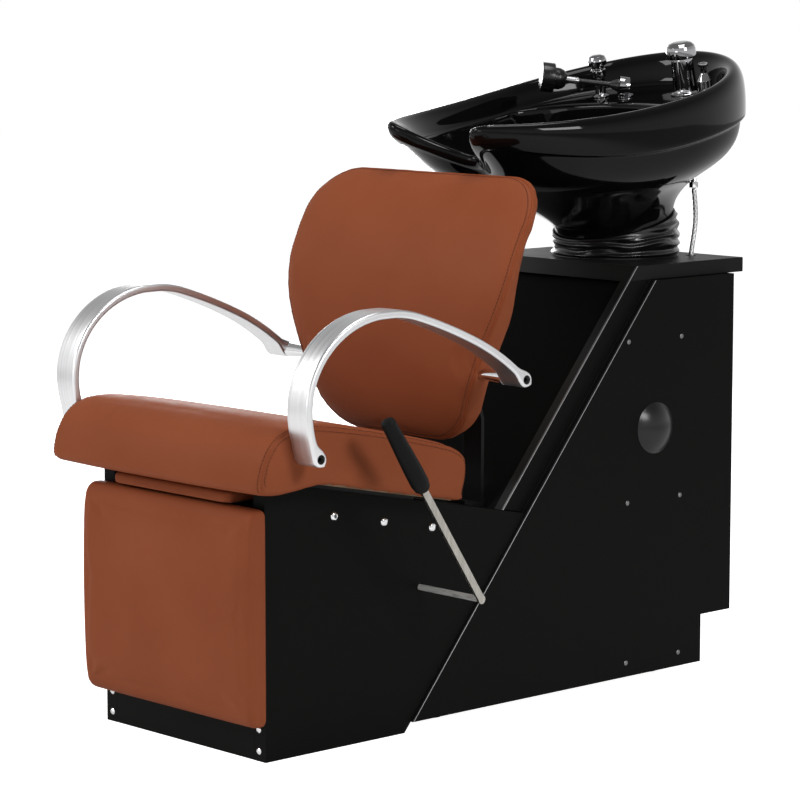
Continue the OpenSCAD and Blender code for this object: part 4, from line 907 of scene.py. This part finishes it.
restLevels = fineLevels(restSteps, 4)
restRings = [restRing(d - rest["w"] / 2, k) for d, k in restLevels]
restRings += [restRing(x, rest["crown"]) for x in (-60, 0, 60)]
restRings += [restRing(rest["w"] / 2 - d, k) for d, k in reversed(restLevels)]
restPad = skinClosed("restPad", restRings)
half, hem = rest["w"] / 2 - rest["inset"] + pocketGap, rest["inset"] - pocketGap
cutters = [boxCutter((-half, rest["y"] - pocketGap, rest["low"] + hem),
                     (half, -120, rest["low"] + rest["h"] - hem), inMetres)]
puffUp(restPad, rest, cutters, lambda p: p.y * 1000 > rest["heldFrom"])
subdivide(restPad, 1)
smoothShade(restPad)
dress(restPad, leather)
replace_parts(restPad, "rest_pad")
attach(restPad, "leg_rest")

flapRings = []
for v, n in fineLevels(flapLevels, 4):
    outline = softRect(flap["w"] / 2 - v, flap["low"] + v, flap["high"] - v, flap["corner"] - v / 2)
    level = flap["z"] + n * (flap["lip"] if n < 0 else flap["thick"])
    flapRings.append([inMetres(x, y, level) for x, y in outline])
flapPad = skinClosed("flapPad", flapRings)
half = flap["w"] / 2 - flap["wall"]
cutters = [boxCutter((-half, flap["low"] + flap["wall"], 340), (half, -40, flap["z"] + pocketGap), inMetres)]
puffUp(flapPad, flap, cutters, lambda p: p.z * 1000 < flap["heldTo"])
subdivide(flapPad, 1)
smoothShade(flapPad)
dress(flapPad, leather)
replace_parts(flapPad, "flap_pad")
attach(flapPad, "flap")
print("leg rest and flap pads done")

# arms: a rounded flat bar swept along the side view, with a round eye at each end

arm = {"x0": 240.5, "x1": 285.5, "t": 12, "round": 4.2, "end": (-125.25, 441), "rear": (271, 517.5),
       "bow": 144, "midZ": 507, "low": 140, "high": 124, "top": (8, 451), "arcs": (180, 900, 420),
       "turns": (90, 73, 65.5, 51), "eye": 11.5, "flare": 26, "hole": 4.1, "head": 6.8, "sink": 9,
       "points": 150}


def armPath():
    path = [arm["end"]]
    for tall, angles in ((arm["low"], range(-21, 0, 3)), (arm["high"], range(0, 90, 5))):
        for a in [math.radians(degrees) for degrees in angles]:
            path.append((-arm["bow"] * math.cos(a), arm["midZ"] + tall * math.sin(a)))
    cy, cz = arm["top"]
    for i, r in enumerate(arm["arcs"]):
        a0, a1 = arm["turns"][i], arm["turns"][i + 1]
        path += [(y, z) for y, z, _ in arcPoints(cy, cz, r, a0, a1, 8)[1:]]
        if i < 2:
            cy += (r - arm["arcs"][i + 1]) * math.cos(math.radians(a1))
            cz += (r - arm["arcs"][i + 1]) * math.sin(math.radians(a1))
    path.append(arm["rear"])
    return smoothLoop([(0, y, z) for y, z in path], arm["points"], closed=False)


def armSection(half):
    r, wide = min(arm["round"], half * 0.9), (arm["x1"] - arm["x0"]) / 2
    section = []
    corners = ((wide - r, half - r), (r - wide, half - r), (r - wide, r - half), (wide - r, r - half))
    for k, (cx, cy) in enumerate(corners):
        for j in range(7):
            a = math.radians(90 * k + 15 * j)
            section.append((cx + r * math.cos(a), cy + r * math.sin(a)))
        for j in range(1, 6):
            nx, ny = ((r - wide, half), (-wide, r - half), (wide - r, -half), (wide, half - r))[k]
            fromX, fromY = section[-j]
            section.append((fromX + (nx - fromX) * j / 6, fromY + (ny - fromY) * j / 6))
    return section


def makeArm(name, side):
    path = armPath()
    run = arcLengths(path)
    eye, flare = arm["eye"], arm["flare"]
    stops = [(-eye * math.cos(math.radians(a)), eye * math.sin(math.radians(a))) for a in range(6, 90, 12)]
    first, last = (path[1] - path[0]).normalized(), (path[-1] - path[-2]).normalized()
    spots = [(path[0] + first * d, first, h) for d, h in stops]
    for i, point in enumerate(path):
        along = (path[min(i + 1, len(path) - 1)] - path[max(i - 1, 0)]).normalized()
        d = min(run[i], run[-1] - run[i])
        half = arm["t"] / 2
        if d < flare:
            half += (eye - half) * math.cos(math.pi / 2 * d / flare) ** 2
        spots.append((point, along, half))
    spots += [(path[-1] - last * d, last, h) for d, h in reversed(stops)]
    middle = side * (arm["x0"] + arm["x1"]) / 2
    rings = []
    for point, along, half in spots:
        normal = Vector((0, -along.z, along.y))
        rings.append([(Vector((middle + u, 0, 0)) + point + normal * v) / 1000 for u, v in armSection(half)])
    piece = skinClosed(name, rings)
    for y, z in (arm["end"], arm["rear"]):
        cutAway(piece, rodCutter(arm["hole"] / 1000, side * 0.22, side * 0.31, y / 1000, z / 1000))
        sunk = side * (arm["x1"] - arm["sink"]) / 1000
        cutAway(piece, rodCutter(arm["head"] / 1000, sunk, side * 0.31, y / 1000, z / 1000))
    smoothShade(piece, 38)
    dress(piece, brushedArm)
    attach(piece, "unit")
    return piece


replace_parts(makeArm("armRight", 1), "arm_right")
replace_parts(makeArm("armLeft", -1), "arm_left")
print("arms done")

# boot, hoses

boot = {"y": 755, "z": 690, "r": 104, "rib": 4, "ribs": 5.4, "merged": 3.2, "low": -35.8, "high": 24,
        "drop": 12, "lean": 11, "inner": 97.6, "innerSteps": 8, "sides": 96, "wander": 0.75, "shallow": 0.5,
        "steps": 72}


# 0 at the rear of the boot, 1 at its front, where it is squeezed
def bootFront(a):
    return 0.5 - 0.5 * math.cos(a)


# the ribs wander up and down, run together towards the front, and lie flat at both ends of the boot
def bootReach(a, f):
    loose = math.sin(math.pi * f)
    toward = Vector((math.cos(a), math.sin(a), 0))
    fold = f * (boot["ribs"] - boot["merged"] * bootFront(a))
    fold += boot["wander"] * loose * noise.noise(1.6 * toward + Vector((0, 0, 2.5 * f)))
    shallow = boot["shallow"] * abs(noise.noise(2.2 * toward + Vector((0, 0, 6 * f))))
    deep = boot["rib"] * min(1, 3 * loose) * (1 - shallow)
    return boot["r"] - boot["rib"] + deep * (0.5 - 0.5 * math.cos(2 * math.pi * fold))


def bootRing(f, inner=None):
    t = math.radians(boot["lean"] * f)
    ring = []
    for i in range(boot["sides"]):
        a = 2 * math.pi * i / boot["sides"]
        h = boot["low"] + (boot["high"] - boot["low"] - boot["drop"] * bootFront(a)) * f
        r = inner or bootReach(a, f)
        y, x = r * math.cos(a), r * math.sin(a)
        ring.append(inMetres(x, boot["y"] + y * math.cos(t) - h * math.sin(t),
                             boot["z"] + y * math.sin(t) + h * math.cos(t)))
    return ring


bootRings = [bootRing(i / boot["steps"]) for i in range(boot["steps"] + 1)]
bootRings += [bootRing(i / boot["innerSteps"], boot["inner"]) for i in range(boot["innerSteps"], -1, -1)]
bootSkin = skinRings("bowlBoot", bootRings, closed=True)
smoothShade(bootSkin, 50)
dress(bootSkin, vinyl)
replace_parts(bootSkin, "bowl_boot")
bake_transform(bootSkin)

drain = {"y": 755, "low": 518, "high": 664, "inner": 19, "r": 21.5, "rib": 3, "ribs": 10, "ribSteps": 8,
         "innerSteps": 12, "sides": 40}


def drainRing(r, i, steps):
    z = drain["low"] + (drain["high"] - drain["low"]) * i / steps
    turns = [2 * math.pi * k / drain["sides"] for k in range(drain["sides"])]
    return [inMetres(r * math.sin(a), drain["y"] + r * math.cos(a), z) for a in turns]


drainRings, steps = [], drain["ribs"] * drain["ribSteps"]
for i in range(steps + 1):
    swell = 0.5 - 0.5 * math.cos(2 * math.pi * i * drain["ribs"] / steps)
    drainRings.append(drainRing(drain["r"] + drain["rib"] * swell, i, steps))
steps = drain["innerSteps"]
drainRings += [drainRing(drain["inner"], i, steps) for i in range(steps, -1, -1)]
drainSkin = skinRings("drainHose", drainRings, closed=True)
smoothShade(drainSkin, 50)
dress(drainSkin, rubber)
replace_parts(drainSkin, "drain_hose")
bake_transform(drainSkin)

supply = {"x": 100, "r": 4, "sides": 16, "points": 90,
          "route": [(778, 511), (778, 526), (780, 542), (786, 560), (797, 578), (809, 595), (819, 611),
                    (825, 628), (826, 643), (827, 660), (831, 680), (835, 702), (836, 722), (834, 744),
                    (831, 762)]}
supplyHoses = (("supplyHoseRight", 1, "supply_hose_right"), ("supplyHoseLeft", -1, "supply_hose_left"))
for name, side, node in supplyHoses:
    route = [inMetres(side * supply["x"], y, z) for y, z in supply["route"]]
    line = smoothLoop(route, supply["points"], closed=False)
    hose = tubeAlong(name, line, supply["r"] / 1000, supply["sides"])
    dress(hose, braid)
    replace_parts(hose, node)
    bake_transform(hose)
print("boot and hoses done")

# domed covers on the cabinet sides, turned about their own axis

dome = {"y": 652, "z": 401, "r": 40, "rise": 14.5, "solidRise": 9, "stub": 29.8, "hollow": 27, "deep": 16,
        "step": 0.4, "sides": 72, "steps": 18}
dome["face"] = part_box("side_domes")[1][0] * 1000 - dome["solidRise"]


def domeProfile():
    ball = (dome["r"] ** 2 + dome["rise"] ** 2) / (2 * dome["rise"])
    edge = math.asin(dome["r"] / ball)
    profile = [(-1, dome["hollow"]), (-dome["deep"], dome["hollow"]), (-dome["deep"], dome["stub"]),
               (0, dome["stub"]), (0, dome["r"] - dome["step"])]
    for i in range(dome["steps"]):
        a = edge * (1 - i / dome["steps"])
        lift = dome["step"] if i == 0 else 0
        profile.append((ball * math.cos(a) - ball + dome["rise"] + lift, ball * math.sin(a)))
    return profile


domes = []
for side in (1, -1):
    rings = []
    turns = [2 * math.pi * k / dome["sides"] for k in range(dome["sides"])]
    for out, r in domeProfile():
        x = side * (dome["face"] + out)
        rings.append([inMetres(x, dome["y"] + r * math.cos(a), dome["z"] + r * math.sin(a)) for a in turns])
    domes.append(skinClosed(f"dome{side}", rings))
sideDomes = joinPieces(domes, "sideDomes")
smoothShade(sideDomes, 35)
dress(sideDomes, plastic)
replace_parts(sideDomes, "side_domes")
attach(sideDomes, "unit")
print("side domes done")

# camera and light

view = {"place": (3.52257, -2.96585, 1.0912), "pitch": 82.49, "turn": 47.3, "lens": 143.33, "sensor": 36}
camera = bpy.data.objects.new("viewCamera", bpy.data.cameras.new("viewCamera"))
bpy.context.scene.collection.objects.link(camera)
camera.location = view["place"]
camera.rotation_euler = (math.radians(view["pitch"]), 0, math.radians(view["turn"]))
camera.data.lens = view["lens"]
camera.data.sensor_width = view["sensor"]
bpy.context.scene.camera = camera

# each lamp's place, the point it faces, its width and its power
lamps = [("keyPanel", (-1.6, -2.6, 2.6), (0.0, 0.2, 0.5), 1.4, 62),
         ("sidePanel", (3.2, 0.2, 2.1), (0.1, 0.4, 0.5), 1.0, 50),
         ("topPanel", (0.2, 0.6, 3.0), (0.0, 0.4, 0.5), 1.2, 24),
         ("lowPanel", (0.6, -3.5, 1.1), (0.0, 0.1, 0.6), 1.4, 14),
         ("rearPanel", (-3.2, 2.6, 0.9), (0.0, 0.1, 0.6), 1.4, 38)]
for name, place, aim, size, power in lamps:
    light = bpy.data.lights.new(name, "AREA")
    light.energy = power
    light.shape = "RECTANGLE"
    light.size, light.size_y = size, size * 0.8
    lamp = bpy.data.objects.new(name, light)
    lamp.location = place
    lamp.rotation_euler = (Vector(aim) - Vector(place)).to_track_quat("-Z", "Y").to_euler()
    lamp.visible_camera = False
    bpy.context.scene.collection.objects.link(lamp)

room = {"floor": 30, "paint": 0.9, "floorGlow": (1.0, 0.35, 1.0), "wallGlow": (1.0, 1.0, 1.0), "fill": 0.22,
        "walls": (0.1, 1.0), "ceiling": (0.6, 0.3)}


# strength of the white seen by camera, mirror and glass rays; other rays get none of it
def seenBy(tree, strengths):
    rays = tree.nodes.new("ShaderNodeLightPath")
    total = None
    for kind, strength in zip(("Is Camera Ray", "Is Glossy Ray", "Is Transmission Ray"), strengths):
        part = tree.nodes.new("ShaderNodeMath")
        part.operation = "MULTIPLY_ADD"
        part.inputs[1].default_value = strength
        part.inputs[2].default_value = 0.0
        tree.links.new(rays.outputs[kind], part.inputs[0])
        if total:
            tree.links.new(total.outputs["Value"], part.inputs[2])
        total = part
    return total


pickOnly(None)
bpy.ops.mesh.primitive_plane_add(size=room["floor"], location=(0, 0, 0))
floor = bpy.context.object
floor.name = "paleFloor"
floorLook, floorShader = newFinish("paleFloor", 0.9, specular=0.1, color=(room["paint"],) * 3)
floorShader.inputs["Emission Color"].default_value = (1, 1, 1, 1)
wire(floorLook, seenBy(floorLook.node_tree, room["floorGlow"]), "Value", floorShader, "Emission Strength")
floor.data.materials.append(floorLook)

world = bpy.data.worlds.new("softRoom")
bpy.context.scene.world = world
world.use_nodes = True
worldTree = world.node_tree
background = worldTree.nodes["Background"]
strength = worldTree.nodes.new("ShaderNodeMath")
strength.operation = "MAXIMUM"
strength.inputs[1].default_value = room["fill"]
worldTree.links.new(seenBy(worldTree, room["wallGlow"]).outputs["Value"], strength.inputs[0])
worldTree.links.new(strength.outputs["Value"], background.inputs["Strength"])
# white walls under a grey ceiling
direction = worldTree.nodes.new("ShaderNodeTexCoord")
split = worldTree.nodes.new("ShaderNodeSeparateXYZ")
ceiling = worldTree.nodes.new("ShaderNodeValToRGB")
for stop, (height, grey) in zip(ceiling.color_ramp.elements, (room["walls"], room["ceiling"])):
    stop.position, stop.color = height, (grey, grey, grey, 1)
worldTree.links.new(direction.outputs["Generated"], split.inputs["Vector"])
worldTree.links.new(split.outputs["Z"], ceiling.inputs["Fac"])
worldTree.links.new(ceiling.outputs["Color"], background.inputs["Color"])

bpy.context.scene.view_settings.view_transform = "Standard"
print("scene ready")
